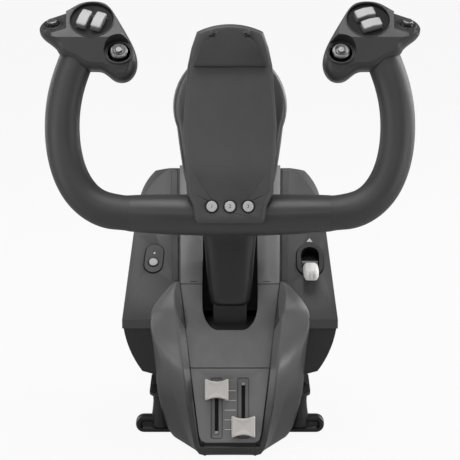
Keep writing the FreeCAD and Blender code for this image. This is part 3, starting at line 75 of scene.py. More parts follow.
def grey(level, warm=0.0):
    """Linear colour from an sRGB level out of 255; warm shifts red up and blue down."""
    base = level / 255
    return (linear(min(1, base * (1 + warm))), linear(base), linear(base * (1 - warm)), 1.0)


def scaled(color, factor):
    """Colour brightened or darkened by a factor."""
    return tuple(min(1.0, c * factor) for c in color[:3]) + (1.0,)


class Tree:
    """A small helper round a material's nodes."""

    def __init__(self, name):
        self.material = bpy.data.materials.new(name)
        self.material.use_nodes = True
        self.nodes = self.material.node_tree.nodes
        self.links = self.material.node_tree.links
        self.shader = self.nodes["Principled BSDF"]
        self.place = self.nodes.new("ShaderNodeTexCoord").outputs["Object"]

    def noise(self, scale, detail=2.0, roughness=0.5, stretch=(1, 1, 1)):
        """Noise in object space, stretched along the axes if asked."""
        vector = self.place
        if stretch != (1, 1, 1):
            mapping = self.nodes.new("ShaderNodeMapping")
            mapping.inputs["Scale"].default_value = stretch
            self.links.new(self.place, mapping.inputs["Vector"])
            vector = mapping.outputs["Vector"]
        node = self.nodes.new("ShaderNodeTexNoise")
        node.inputs["Scale"].default_value = scale
        node.inputs["Detail"].default_value = detail
        node.inputs["Roughness"].default_value = roughness
        self.links.new(vector, node.inputs["Vector"])
        return node.outputs["Fac"]

    def voronoi(self, scale):
        """Distance to the nearest cell centre."""
        node = self.nodes.new("ShaderNodeTexVoronoi")
        node.inputs["Scale"].default_value = scale
        self.links.new(self.place, node.inputs["Vector"])
        return node.outputs["Distance"]

    def spread(self, source, low, high, start=0.3, end=0.7):
        """The source's range start-end mapped to low-high."""
        node = self.nodes.new("ShaderNodeMapRange")
        for key, value in (("From Min", start), ("From Max", end), ("To Min", low), ("To Max", high)):
            node.inputs[key].default_value = value
        self.links.new(source, node.inputs["Value"])
        return node.outputs["Result"]

    def mix(self, factor, first, second):
        """Colour between two; each is a colour or a socket."""
        node = self.nodes.new("ShaderNodeMix")
        node.data_type = "RGBA"
        self.links.new(factor, node.inputs["Factor"])
        for socket, value in ((node.inputs["A"], first), (node.inputs["B"], second)):
            if isinstance(value, tuple):
                socket.default_value = value
            else:
                self.links.new(value, socket)
        return node.outputs["Result"]

    def math(self, operation, first, second):
        """One sum of two values; each is a number or a socket."""
        node = self.nodes.new("ShaderNodeMath")
        node.operation = operation
        for socket, value in zip(node.inputs, (first, second)):
            if isinstance(value, (int, float)):
                socket.default_value = value
            else:
                self.links.new(value, socket)
        return node.outputs["Value"]

    def bump(self, height, strength, distance, bevel=0.0):
        """Relief from a height; bevel also rounds the edges' shading by that radius in metres."""
        node = self.nodes.new("ShaderNodeBump")
        node.inputs["Strength"].default_value = strength
        node.inputs["Distance"].default_value = distance
        self.links.new(height, node.inputs["Height"])
        if bevel:
            edge = self.nodes.new("ShaderNodeBevel")
            edge.samples = 4
            edge.inputs["Radius"].default_value = bevel
            self.links.new(edge.outputs["Normal"], node.inputs["Normal"])
        self.links.new(node.outputs["Normal"], self.shader.inputs["Normal"])

    def set(self, **values):
        """Shader inputs by name, with _ for a space."""
        for key, value in values.items():
            self.shader.inputs[key.replace("_", " ")].default_value = value


def moulded(name, color, rough=0.5, grain=1600, depth=0.00006, strength=0.35, specular=0.5,
            mottle=0.10, wear=0.25, bevel=0.0006):
    """Moulded plastic: fine spark-eroded grain, faint mottling, edges polished by handling."""
    tree = Tree(name)
    blotch = tree.noise(38, 3, 0.55)
    fine = tree.noise(grain, 2, 0.6)
    speck = tree.voronoi(grain * 0.8)
    tone = tree.mix(tree.spread(blotch, 0, 1), scaled(color, 1 - mottle), scaled(color, 1 + mottle))
    edges = tree.nodes.new("ShaderNodeNewGeometry").outputs["Pointiness"]
    worn = tree.spread(edges, 0, wear, 0.52, 0.62)
    tone = tree.mix(worn, tone, scaled(color, 1.8))
    tree.links.new(tone, tree.shader.inputs["Base Color"])
    gloss = tree.math("ADD", tree.spread(blotch, -0.05, 0.05), rough)
    gloss = tree.math("SUBTRACT", gloss, tree.math("MULTIPLY", worn, 0.3))
    tree.links.new(gloss, tree.shader.inputs["Roughness"])
    height = tree.math("ADD", fine, tree.math("MULTIPLY", speck, 0.5))
    tree.bump(height, strength, depth, bevel)
    tree.set(Specular_IOR_Level=specular)
    return tree.material


def faded(material, upper, start, end):
    """Painted light and shade: mixes a lit second tone into a material above a height, in metres of the row
    frame.
    """
    tree = material.node_tree
    shader = tree.nodes["Principled BSDF"]
    geometry = tree.nodes.new("ShaderNodeNewGeometry")
    parts = tree.nodes.new("ShaderNodeSeparateXYZ")
    tree.links.new(geometry.outputs["Position"], parts.inputs["Vector"])
    share = tree.nodes.new("ShaderNodeMapRange")
    share.inputs["From Min"].default_value = start
    share.inputs["From Max"].default_value = end
    tree.links.new(parts.outputs["Z"], share.inputs["Value"])
    mix = tree.nodes.new("ShaderNodeMix")
    mix.data_type = "RGBA"
    tree.links.new(share.outputs["Result"], mix.inputs["Factor"])
    tree.links.new(shader.inputs["Base Color"].links[0].from_socket, mix.inputs["A"])
    mix.inputs["B"].default_value = upper
    tree.links.new(mix.outputs["Result"], shader.inputs["Base Color"])
    return material


def powder(name, color, rough=0.42, cell=900, depth=0.00012, strength=0.5):
    """Powder coat: rounded orange-peel grains with slight gloss changes."""
    tree = Tree(name)
    peel = tree.noise(cell, 3, 0.55)
    cells = tree.voronoi(cell * 0.7)
    broad = tree.noise(22, 3, 0.5)
    tone = tree.mix(tree.spread(broad, 0, 1), scaled(color, 0.92), scaled(color, 1.1))
    tree.links.new(tone, tree.shader.inputs["Base Color"])
    tree.links.new(tree.math("ADD", tree.spread(broad, -0.04, 0.06), rough), tree.shader.inputs["Roughness"])
    tree.bump(tree.math("ADD", peel, tree.math("MULTIPLY", cells, 0.6)), strength, depth)
    tree.set(Specular_IOR_Level=0.5)
    return tree.material


def brushed(name, color, rough=0.3, stretch=(1, 1, 40), scale=60):
    """Drawn or turned metal with fine lines and a little tarnish."""
    tree = Tree(name)
    lines = tree.noise(scale, 4, 0.6, stretch)
    stain = tree.noise(45, 3, 0.6)
    tone = tree.mix(tree.spread(stain, 0, 1), scaled(color, 0.82), scaled(color, 1.1))
    tree.links.new(tone, tree.shader.inputs["Base Color"])
    tree.links.new(tree.math("ADD", tree.spread(lines, -0.08, 0.1), rough), tree.shader.inputs["Roughness"])
    tree.bump(lines, 0.15, 0.00005)
    tree.set(Metallic=1.0)
    return tree.material


MATERIALS = {
    "housing_plastic": moulded("housing_plastic", grey(62), rough=0.48),
    "hull_plastic": moulded("hull_plastic", grey(28), rough=0.5),
    "cover_plastic": moulded("cover_plastic", grey(112), rough=0.42, mottle=0.05),
    # painted light: the nose's upper part, its lobes on the deck, gets a lighter tone than the frame hanging
    # below
    "nose_plastic": faded(moulded("nose_plastic", grey(58), rough=0.36), grey(108), -0.02, 0.04),
    "panel_plastic": moulded("panel_plastic", grey(112), rough=0.44),
    "tube_paint": powder("tube_paint", grey(58)),
    "grip_rubber": powder("grip_rubber", grey(56), rough=0.5, cell=1300),
    "hub_plastic": moulded("hub_plastic", grey(68), rough=0.5, grain=1200, depth=0.0001),
    "hub_back_plastic": moulded("hub_back_plastic", grey(48), rough=0.45),
    "clip_plastic": moulded("clip_plastic", grey(46), rough=0.45),
    "horn_plastic": moulded("horn_plastic", grey(52), rough=0.45),
    "key_plastic": moulded("key_plastic", grey(120), rough=0.3, grain=900, strength=0.1),
    "cap_metal": brushed("cap_metal", grey(118), rough=0.42, stretch=(1, 1, 1), scale=900),
    "knob_plastic": moulded("knob_plastic", grey(196, 0.02), rough=0.42, mottle=0.03, wear=0.1),
    "button_plastic": moulded("button_plastic", grey(186), rough=0.4, mottle=0.03),
    "gear_plastic": moulded("gear_plastic", grey(232, 0.01), rough=0.42, mottle=0.03, wear=0.1),
    "lever_plastic": moulded("lever_plastic", grey(150), rough=0.4),
    "mark_white": moulded("mark_white", grey(225), rough=0.5, grain=2400, mottle=0.02, wear=0.0),
    "mark_dark": moulded("mark_dark", grey(40), rough=0.5, grain=2400, mottle=0.04, wear=0.0),
    # darker tone of the guide bezel, and the painted shade of the deck bands
    "band_plastic": moulded("band_plastic", grey(42), rough=0.5),
    "key_face": moulded("key_face", grey(172), rough=0.4, grain=900, strength=0.1, mottle=0.03),
    "gap_black": moulded("gap_black", grey(9), rough=0.6, specular=0.25, wear=0.0),
    "jaw_paint": powder("jaw_paint", grey(30)),
    "black_plastic": moulded("black_plastic", grey(26), rough=0.4),
    "dark_plastic": moulded("dark_plastic", grey(22), rough=0.55),
    # painted light and shade: the column's head gets a lighter, lit tone and its lower neck a darker, shaded
    # one
    "column_plastic": faded(moulded("column_plastic", grey(22), rough=0.34, specular=0.6),
                            grey(74), 0.21, 0.30),
    "steel": brushed("steel", grey(196)),
    "bearing_steel": brushed("bearing_steel", grey(214), rough=0.18),
    "spring_steel": brushed("spring_steel", grey(170), rough=0.35),
    "board": moulded("board", (0.012, 0.12, 0.05, 1), rough=0.3, grain=500),
    "pad_rubber": powder("pad_rubber", grey(34), rough=0.75, cell=600),
}

NODE_MATERIALS = {
    "lower_hull": "hull_plastic",
    "housing_left": "housing_plastic",
    "housing_right": "housing_plastic",
    "centre_cover": "cover_plastic",
    "nose_cowl": "nose_plastic",
    "nose_panel": "panel_plastic",
    "slider_panel": "panel_plastic",
    "slot_liner": "dark_plastic",
    "chassis_plate": "steel",
    "pivot_brackets": "steel",
    "pivot_bearings": "bearing_steel",
    "pitch_spring": "spring_steel",
    "main_board": "board",
    "port_panel": "black_plastic",
    "rubber_feet": "pad_rubber",
    "guide_bezel": "band_plastic",
    "gear_bezel": "dark_plastic",
    "slide_pots": "dark_plastic",
    "pivot_shaft": "steel",
    "pivot_drum": "dark_plastic",
    "column_front": "column_plastic",
    "column_back": "column_plastic",
    "bearing_tube": "steel",
    "roll_bearings": "bearing_steel",
    "roll_spring": "spring_steel",
    "sensor_board": "board",
    "roll_shaft": "steel",
    "centre_bar": "tube_paint",
    "grip_left": "grip_rubber",
    "grip_right": "grip_rubber",
    "hub_cover": "hub_plastic",
    "hub_back": "hub_back_plastic",
    "document_clip": "clip_plastic",
    "guide_button": "black_plastic",
    "gear_lever": "lever_plastic",
}
PREFIX_MATERIALS = (
    ("horn_front", "horn_plastic"), ("horn_back", "horn_plastic"), ("hub_button", "button_plastic"),
    ("face_key", "key_plastic"), ("thumb_button", "cap_metal"), ("hat_cap", "cap_metal"),
    ("hat_ring", "black_plastic"), ("slider_", "knob_plastic"), ("jaw_pad", "pad_rubber"),
    ("clamp_jaw", "jaw_paint"), ("clamp_knob", "black_plastic"),
)
for node in NODES:
    for prefix, material in PREFIX_MATERIALS:
        if node.startswith(prefix):
            NODE_MATERIALS.setdefault(node, material)

for name, node in NODES.items():
    node.data.materials.clear()
    node.data.materials.append(MATERIALS[NODE_MATERIALS[name]])


# ---------------------------------------------------------------- soft edges of the moulded pieces

CREASE_ANGLE = 32
BEVEL_ANGLE = 33


def smoothing_group():
    """Geometry nodes that shade a mesh smooth, except at creases sharper than the crease angle."""
    group = bpy.data.node_groups.new("crease_shading", "GeometryNodeTree")
    group.interface.new_socket("Geometry", in_out="INPUT", socket_type="NodeSocketGeometry")
    group.interface.new_socket("Geometry", in_out="OUTPUT", socket_type="NodeSocketGeometry")
    nodes, links = group.nodes, group.links
    start = nodes.new("NodeGroupInput")
    stop = nodes.new("NodeGroupOutput")
    angle = nodes.new("GeometryNodeInputMeshEdgeAngle")
    sharp = nodes.new("FunctionNodeCompare")
    sharp.data_type = "FLOAT"
    sharp.operation = "LESS_EQUAL"
    sharp.inputs["B"].default_value = math.radians(CREASE_ANGLE)
    links.new(angle.outputs["Unsigned Angle"], sharp.inputs["A"])
    faces = nodes.new("GeometryNodeSetShadeSmooth")
    faces.domain = "FACE"
    edges = nodes.new("GeometryNodeSetShadeSmooth")
    edges.domain = "EDGE"
    links.new(start.outputs[0], faces.inputs["Geometry"])
    links.new(faces.outputs["Geometry"], edges.inputs["Geometry"])
    links.new(sharp.outputs["Result"], edges.inputs["Shade Smooth"])
    links.new(edges.outputs["Geometry"], stop.inputs[0])
    return group


CREASES = smoothing_group()
EDGE_RADII = {
    "lower_hull": 1.2, "housing_left": 1.0, "housing_right": 1.0, "centre_cover": 0.6,
    "nose_panel": 0.5, "slider_panel": 0.5, "column_back": 1.0, "hub_cover": 0.7,
    "hub_back": 0.7, "document_clip": 0.5, "gear_lever": 0.5, "port_panel": 0.3,
}


def soften(name, radius):
    """Rounds a carried piece's sharp edges with modifiers; its mesh stays as packed."""
    node = NODES[name]
    weld = node.modifiers.new("join", "WELD")
    weld.merge_threshold = 0.00002
    bevel = node.modifiers.new("round", "BEVEL")
    bevel.width = radius * MM
    bevel.segments = 4 if radius > 1.5 else 2
    bevel.limit_method = "ANGLE"
    bevel.angle_limit = math.radians(BEVEL_ANGLE)
    bevel.use_clamp_overlap = True
    bevel.miter_outer = "MITER_ARC"
    shade = node.modifiers.new("shade", "NODES")
    shade.node_group = CREASES


for name, radius in EDGE_RADII.items():
    soften(name, radius)


# ---------------------------------------------------------------- added pieces

def shift(x=0.0, y=0.0, z=0.0):
    """Translation in millimetres."""
    return Matrix.Translation(Vector((x, y, z)) * MM)


def turned(angle, axis):
    """Rotation in degrees."""
    return Matrix.Rotation(math.radians(angle), 4, axis)


def well_at(side):
    """Button well of one horn."""
    return HUB @ shift(side * 137.5, 83.5, 8) @ turned(-33, "X")


def lobe_at(side):
    """Seat of one horn's thumb button."""
    return HUB @ shift(side * 176.5, 79, 4) @ turned(-54, "X") @ turned(side * 8, "Y")


def hat_at(side):
    """Seat of one horn's hat."""
    return HUB @ shift(side * 110, 50, 17) @ turned(-31, "X")


def facing_back(x, y, depth):
    """Spot on the wheel's rear, at a depth behind the wheel's plane."""
    return HUB @ shift(x, y, -depth) @ turned(180, "X")


# Measures that the added pieces share with the solids: millimetres, the lean in degrees, the fall a ratio.
GUIDE = DECK @ shift(-81, 75.6) @ turned(-4.7, "Z")
GUIDE_BUTTON_Y = -5.2
GUIDE_LAMP_Y = 6.4
GUIDE_SIZE = (19, 34.8, 9.5)
GEAR = DECK @ shift(85.2, 73.6)
GEAR_SIZE = (28, 40, 14)
GEAR_LEAN = 50
HUB_FRONT = 27
HUB_REAR = 20
HORN_REAR = 22
MENU_PITCH = 17.9
MENU_DROP = 102.8
MENU_TOP = 1.8
KEY_WIDTH = 10.5
KEY_LENGTH = 20.0
KEY_TOP = 4.5
KEY_FALL = math.tan(math.radians(9))
WELL_DEPTH = 3.0
SLIDER_X = 13.75
SLIDER_TOP = 22.4
SLIDER_TRAVEL = 38
CHANNEL_WIDTH = 11
CHANNEL_LENGTH = SLIDER_TRAVEL + 24
CHANNEL_MIDDLE = -(SLIDER_TOP + SLIDER_TRAVEL / 2)
STOP_DISTANCE = 25
CLAMP_X = 74
CLAMP_Y = -66
HEAD_RADIUS = 58
SIDES = {"left": -1, "right": 1}
KEY_SPOTS = {-1: [(-7.5, 0.5, -20), (7.0, -2.5, -20)], 1: [(-3.0, 6.5, -72), (3.0, -7.0, -72)]}
LATHE_STEPS = 72


def keep(name, mesh, place, material, body, smooth=True):
    """Puts a mesh written in millimetres in the scene as a piece of one body."""
    mesh.transform(place @ Matrix.Scale(MM, 4))
    for face in mesh.polygons:
        face.use_smooth = smooth
    mesh.materials.append(MATERIALS[material])
    piece = bpy.data.objects.new(name, mesh)
    bpy.context.scene.collection.objects.link(piece)
    if smooth:
        shade = piece.modifiers.new("shade", "NODES")
        shade.node_group = CREASES
    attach(piece, body)
    return piece


def rounded_outline(width, length, radius, steps=8):
    """Closed loop of a rectangle with round corners, counter-clockwise."""
    radius = min(radius, width / 2 - 0.001, length / 2 - 0.001)
    loop = []
    for x, y, start in ((1, 1, 0), (-1, 1, 90), (-1, -1, 180), (1, -1, 270)):
        for i in range(steps + 1):
            a = math.radians(start + 90 * i / steps)
            loop.append((x * (width / 2 - radius) + radius * math.cos(a),
                         y * (length / 2 - radius) + radius * math.sin(a)))
    return loop


def circle(radius, steps=LATHE_STEPS):
    """Loop round the origin."""
    return [(radius * math.cos(2 * math.pi * i / steps), radius * math.sin(2 * math.pi * i / steps))
            for i in range(steps)]


def rotated(loop, angle):
    """Loop turned about its origin by degrees."""
    cosine, sine = math.cos(math.radians(angle)), math.sin(math.radians(angle))
    return [(x * cosine - y * sine, x * sine + y * cosine) for x, y in loop]


def ring_mesh(name, loops, closed):
    """Mesh through stacked loops of equal length; closed joins last to first, otherwise both are capped."""
    mesh = bpy.data.meshes.new(name)
    count = len(loops[0])
    vertices = [point for loop in loops for point in loop]
    faces = []
    rows = len(loops)
    for row in range(rows if closed else rows - 1):
        other = (row + 1) % rows
        for i in range(count):
            j = (i + 1) % count
            faces.append((row * count + i, row * count + j, other * count + j, other * count + i))
    if not closed:
        faces.append(tuple(reversed(range(count))))
        faces.append(tuple((rows - 1) * count + i for i in range(count)))
    mesh.from_pydata(vertices, [], faces)
    solid = bmesh.new()
    solid.from_mesh(mesh)
    bmesh.ops.recalc_face_normals(solid, faces=solid.faces)
    solid.to_mesh(mesh)
    solid.free()
    return mesh


def lathe(name, profile, place, material, body, closed=True):
    """Turned piece from a (radius, height) profile about the place's z axis."""
    loops = [[(x, y, z) for x, y in circle(radius)] for radius, z in profile]
    return keep(name, ring_mesh(name, loops, closed), place, material, body)


def outline_piece(name, width, length, corner, profile, place, material, body, slot, closed=True):
    """Ring or plate that follows a rounded rectangle; profile gives (growth, height) pairs."""
    loops = []
    for grow, z in profile:
        outline = rounded_outline(width + 2 * grow, length + 2 * grow, max(corner + grow, 0.2))
        loops.append([(x, y, z) for x, y in outline])
    return keep(name, ring_mesh(name, loops, closed), place, material, body)


def plate(name, loops, low, high, place, material, body, edge=0.0):
    """Flat plate between two heights from an outline with holes."""
    curve = bpy.data.curves.new(name, "CURVE")
    curve.dimensions = "2D"
    curve.fill_mode = "BOTH"
    curve.extrude = (high - low) / 2 - edge
    curve.bevel_depth = edge
    curve.bevel_resolution = 2
    curve.offset = -edge
    for loop in loops:
        spline = curve.splines.new("POLY")
        spline.points.add(len(loop) - 1)
        for point, (x, y) in zip(spline.points, loop):
            point.co = (x, y, 0, 1)
        spline.use_cyclic_u = True
    return from_curve(name, curve, (low + high) / 2, place, material, body)


def from_curve(name, curve, height, place, material, body):
    """Turns a curve or text into a mesh piece."""
    source = bpy.data.objects.new(name + "_source", curve)
    bpy.context.scene.collection.objects.link(source)
    bpy.context.view_layer.update()
    mesh = bpy.data.meshes.new_from_object(source.evaluated_get(bpy.context.evaluated_depsgraph_get()))
    bpy.data.objects.remove(source)
    mesh.transform(Matrix.Translation((0, 0, height)))
    return keep(name, mesh, place, material, body, smooth=False)


def label(name, words, height, place, material, body):
    """Flat raised figure, centred on the place."""
    font = bpy.data.curves.new(name, "FONT")
    font.body = words
    font.size = height * 1.4
    font.align_x = "CENTER"
    font.align_y = "CENTER"
    font.extrude = 0.06
    return from_curve(name, font, 0.06, place, material, body)


def ridge_plate(name, width, length, low, high, corner, fall, place, material, body):
    """Plate with a ridge across its middle, falling to both ends, with a rounded edge all round."""
    outline = rounded_outline(width, length, corner, 6)
    levels = sorted({round(y, 5) for x, y in outline} | {0.0})
    rows = []
    for y in levels:
        reach = length / 2 - abs(y)
        half = width / 2
        if reach < corner:
            half = width / 2 - corner + math.sqrt(max(corner * corner - (corner - reach) ** 2, 0.0))
        rows.append((max(half, 0.3), y))
    solid = bmesh.new()
    crown = 0.25
    across = (-1, -0.93, -0.6, 0, 0.6, 0.93, 1)
    grid = []
    for half, y in rows:
        top = high - abs(y) * fall - (crown if length / 2 - abs(y) < 0.4 else 0)
        line = [solid.verts.new((x * half, y, top - (crown if abs(x) == 1 else 0))) for x in across]
        line += [solid.verts.new((x, y, low - abs(y) * fall)) for x in (half, -half)]
        grid.append(line)
    for first, second in zip(grid[:-1], grid[1:]):
        for i in range(len(first)):
            j = (i + 1) % len(first)
            solid.faces.new((first[i], first[j], second[j], second[i]))
    solid.faces.new(list(reversed(grid[0])))
    solid.faces.new(grid[-1])
    bmesh.ops.recalc_face_normals(solid, faces=solid.faces)
    mesh = bpy.data.meshes.new(name)
    solid.to_mesh(mesh)
    solid.free()
    return keep(name, mesh, place, material, body)


def screw(name, place, body, radius=2.6):
    """Recessed socket screw: a domed head with a six-sided hole, in a dark cup."""
    rim = radius + 1.0
    cup = [(radius + 0.2, -0.1), (rim, -0.1), (rim, 0.12), (radius + 0.5, 0.2), (radius + 0.2, 0.1)]
    lathe(name + "_cup", cup, place, "dark_plastic", body)
    plate(name + "_head", [circle(radius, 40), circle(radius * 0.5, 6)], -0.1, 0.5, place, "steel", body,
          edge=0.12)


# horns: wells, keys, thumb button and hat collars
number = 0
for side_name, side in SIDES.items():
    well, lobe, hat = well_at(side), lobe_at(side), hat_at(side)
    lathe("well_rim_" + side_name,
          [(21.3, -1.6), (22.0, -1.6), (22.6, -0.4), (22.5, 0.45), (22.1, 0.85), (21.8, 0.85), (21.45, 0.5),
           (21.3, 0)],
          well, "horn_plastic", "wheel")
    holes = []
    for x, y, angle in KEY_SPOTS[side]:
        hole = rounded_outline(KEY_WIDTH + 1.9, KEY_LENGTH + 1.9, 2.9, 6)
        holes.append([(x + px, y + py) for px, py in rotated(hole, angle)])
        number += 1
        ridge_plate("key_top_%d" % number, KEY_WIDTH - 1.3, KEY_LENGTH - 1.4, KEY_TOP - 0.05, KEY_TOP + 0.45,
                    1.7, KEY_FALL, well @ shift(x, y) @ turned(angle, "Z"), "key_face", "key_%d" % number)
    plate("well_floor_" + side_name, [circle(21.3)] + holes, 0.05 - WELL_DEPTH, 0.65 - WELL_DEPTH, well,
          "gap_black", "wheel", edge=0.1)
    lathe("thumb_base_" + side_name,
          [(6.9, -0.3), (10.4, -0.3), (10.4, 0.3), (9.6, 0.75), (8.6, 0.9), (7.4, 0.9), (6.9, 0.6)],
          lobe, "dark_plastic", "wheel")
    lathe("thumb_collar_" + side_name,
          [(5.45, 1.7), (6.35, 1.7), (6.35, 2.9), (6.0, 3.3), (5.7, 3.3), (5.45, 3.0)],
          lobe, "dark_plastic", "thumb_" + side_name)
    lathe("hat_collar_" + side_name,
          [(11.8, -0.4), (14.4, -0.4), (14.4, 0.2), (13.7, 0.75), (12.7, 0.85), (12.0, 0.5), (11.8, 0.2)],
          hat, "dark_plastic", "wheel")

# hub: button rings, their dark colour painted shade of the gap round each button, and plain figures
for figure, body in enumerate(("menu_left", "menu_middle", "menu_right"), 1):
    spot = HUB @ shift((figure - 2) * MENU_PITCH, -MENU_DROP, HUB_FRONT)
    lathe("menu_shade_ring_%d" % figure,
          [(5.75, -0.1), (7.0, -0.1), (7.0, 0.1), (6.7, 0.35), (6.1, 0.35), (5.75, 0.15)],
          spot, "dark_plastic", "wheel")
    label("menu_figure_%d" % figure, str(figure), 3.6, spot @ shift(z=MENU_TOP), "mark_dark", body)

# guide control: rim, disc and lamp
outline_piece("guide_rim", *GUIDE_SIZE,
              [(0.02, -0.1), (1.0, -0.1), (1.0, 0.35), (0.7, 0.7), (0.3, 0.7), (0.02, 0.4)],
              GUIDE, "gap_black", "base", "black_plastic")
lathe("guide_disc",
      [(3.9, 1.95), (4.5, 1.95), (4.5, 2.1), (4.2, 2.28), (3.6, 2.34), (2.0, 2.42), (0.4, 2.45)],
      GUIDE @ shift(y=GUIDE_BUTTON_Y), "button_plastic", "guide_button", closed=False)
lathe("guide_lamp", [(1.2, 0.4), (1.2, 1.3), (0.95, 1.55), (0.5, 1.7), (0.1, 1.75)],
      GUIDE @ shift(y=GUIDE_LAMP_Y), "mark_white", "base", closed=False)

# gear gate: rim and an arrow that points up the deck
outline_piece("gear_rim", *GEAR_SIZE,
              [(0.02, -0.1), (1.1, -0.1), (1.1, 0.5), (0.7, 0.9), (0.3, 0.9), (0.02, 0.5)],
              GEAR, "gap_black", "base", "black_plastic")
plate("gear_arrow", [[(-3.2, -2.2), (3.2, -2.2), (0, 2.6)]], 0.0, 0.2, GEAR @ shift(y=25.5), "mark_white",
      "base")

# sliders: a stop at the free end of each slot
for side, end in ((1, "right"), (-1, "left")):
    outline_piece("slider_stop_" + end, 3.6, 2.7, 0.5,
                  [(-0.3, -2.2), (0, -2.0), (0, 0.3), (-0.3, 0.6)],
                  NOSE @ shift(side * SLIDER_X, CHANNEL_MIDDLE + side * STOP_DISTANCE), "lever_plastic",
                  "base", "black_plastic", closed=False)

# deck: painted shade, darker bands beside the centre strips where the panel's edge turns down into the
# groove
for side_name, side in SIDES.items():
    band = [(side * 54.8, 48.0), (side * 61.0, 48.0), (side * 64.4, 190.0), (side * 57.7, 190.0)]
    if side < 0:
        band.reverse()
    plate("deck_shade_band_" + side_name, [band], -0.05, 0.4, DECK, "band_plastic", "base",
          edge=0.15)

# screws: underneath, behind the hub and behind the horns
for i, (x, y) in enumerate(((-60, -20), (60, -20), (-60, 60), (60, 60)), 1):
    screw("hull_screw_%d" % i, Matrix.Translation((x * MM, y * MM, 0)) @ turned(180, "X"), "base")
for i, (x, y) in enumerate(((-30, 40), (30, 40), (-30, -60), (30, -60)), 1):
    screw("hub_screw_%d" % i, facing_back(x, y, HUB_REAR), "wheel", 2.2)
for side_name, side in SIDES.items():
    for i, (x, y) in enumerate(((137, 72), (120, 45)), 1):
        screw("horn_screw_%s_%d" % (side_name, i), facing_back(side * x, y, HORN_REAR), "wheel", 2.2)


# nose frame: two lobes that run down into a faceted frame, in one smooth skin

# along the deck, inner edge, outer edge
LOBE_STATIONS = ((45.2, 53.0, 57.4), (42.6, 52.7, 62.6), (36.0, 51.9, 67.2), (27.5, 50.9, 73.8),
                 (16.0, 49.5, 80.6), (5.0, 48.2, 84.4))
# height, half-width and depth at the panel, half-width and depth at the crease, half-width at the rear
FRAME_STATIONS = (
    (52.0, 46.2, 7.4, 82.0, 1.8, 83.4), (38.0, 44.2, -3.3, 77.4, -1.1, 80.6),
    (17.0, 41.6, -19.4, 69.8, -6.5, 78.8), (-2.0, 39.4, -26.2, 63.2, -11.4, 77.8),
    (-21.0, 37.0, -33.0, 56.3, -16.4, 76.4),
    (-50.0, 33.0, -43.5, 46.7, -23.9, 69.0), (-60.0, 31.4, -45.6, 43.4, -26.4, 65.4),
    (-69.0, 28.6, -40.4, 37.8, -28.6, 59.4), (-72.4, 25.0, -36.0, 32.5, -29.0, 54.0))
COVER_START = 42
FRAME_PROUD = 0.8
DESK_CENTRE = 100
FRONT_WALL = 5.0
# The panel sinks below the deck's plane by this share of the way in front of the covers' start.
PANEL_FALL = 0.1926


def lobe_row(along, inner, outer):
    """Points across a lobe on the deck, from under the panel to its outer foot."""
    width = outer - inner
    bulge = min(2.6, width * 0.12)
    ridge = 3.2 + 3.6 * min(1, (45.2 - along) / 22)
    sill = min(2.6, 3.6 - (COVER_START - along) * PANEL_FALL)
    line = [(inner - 3.6, sill - 5.0), (inner, sill - 3.6), (inner, sill),
            (inner + min(7.5, width * 0.4), ridge), (inner + width * 0.66, ridge * 0.72 + bulge * 0.4),
            (outer - 0.8, 2.0), (outer, 0.1)]
    return [DECK @ Vector((x * MM, along * MM, z * MM)) for x, z in line]


def frame_row(height, panel, face, crease, crease_depth, rear):
    """Points across the hanging frame at a height, from under the panel to the rear of its side wall."""
    width = crease - panel
    skin = face - FRAME_PROUD
    rise = 0.8 + 4.2 * max(0, min(1, (height + 74.3) / 90)) + max(0, height - 17) * 0.13
    line = [(panel - 4.5, skin + 5.0), (panel, skin + 4.4), (panel, skin),
            (panel + min(7.5, width * 0.4), skin - rise),
            (panel + width * 0.68, (skin - rise) * 0.45 + crease_depth * 0.55 - 1.4),
            (crease, crease_depth - 0.8), (rear, FRONT_WALL)]
    return [Vector((x * MM, (y - DESK_CENTRE) * MM, height * MM)) for x, y in line]


def nose_frame():
    """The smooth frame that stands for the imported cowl."""
    rows = [lobe_row(*one) for one in LOBE_STATIONS] + [frame_row(*one) for one in FRAME_STATIONS]
    solid = bmesh.new()
    right = [[solid.verts.new(point) for point in row] for row in rows]
    left = [[solid.verts.new((-point.x, point.y, point.z)) for point in row] for row in rows]
    crease = solid.edges.layers.float.new("crease_edge")
    chin = len(rows) - 3
    for half, flip in ((right, False), (left, True)):
        for i in range(len(rows) - 1):
            for j in range(len(rows[0]) - 1):
                corners = [half[i][j], half[i + 1][j], half[i + 1][j + 1], half[i][j + 1]]
                solid.faces.new(corners if not flip else list(reversed(corners)))
    for i in range(chin, len(rows) - 1):
        solid.faces.new((left[i][2], left[i + 1][2], right[i + 1][2], right[i][2]))
    solid.faces.new([left[-1][j] for j in (6, 5, 4, 3, 2)] + [right[-1][j] for j in (2, 3, 4, 5, 6)])
    solid.edges.ensure_lookup_table()
    ridge = {half[i][j] for half in (right, left) for i in range(len(rows)) for j in (2, 3, 5)}
    for edge in solid.edges:
        if edge.is_boundary:
            edge[crease] = 1.0
        elif edge.verts[0] in ridge and edge.verts[1] in ridge:
            edge[crease] = 0.75
    bmesh.ops.recalc_face_normals(solid, faces=solid.faces)
    mesh = bpy.data.meshes.new("nose_frame")
    solid.to_mesh(mesh)
    solid.free()
    for face in mesh.polygons:
        face.use_smooth = True
    mesh.materials.append(MATERIALS["nose_plastic"])
    piece = bpy.data.objects.new("nose_frame", mesh)
    bpy.context.scene.collection.objects.link(piece)
    smooth = piece.modifiers.new("smooth", "SUBSURF")
    smooth.levels = smooth.render_levels = 3
    wall = piece.modifiers.new("wall", "SOLIDIFY")
    wall.thickness = 1.6 * MM
    wall.offset = -1
    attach(piece, "base")
    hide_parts("nose_cowl")


nose_frame()

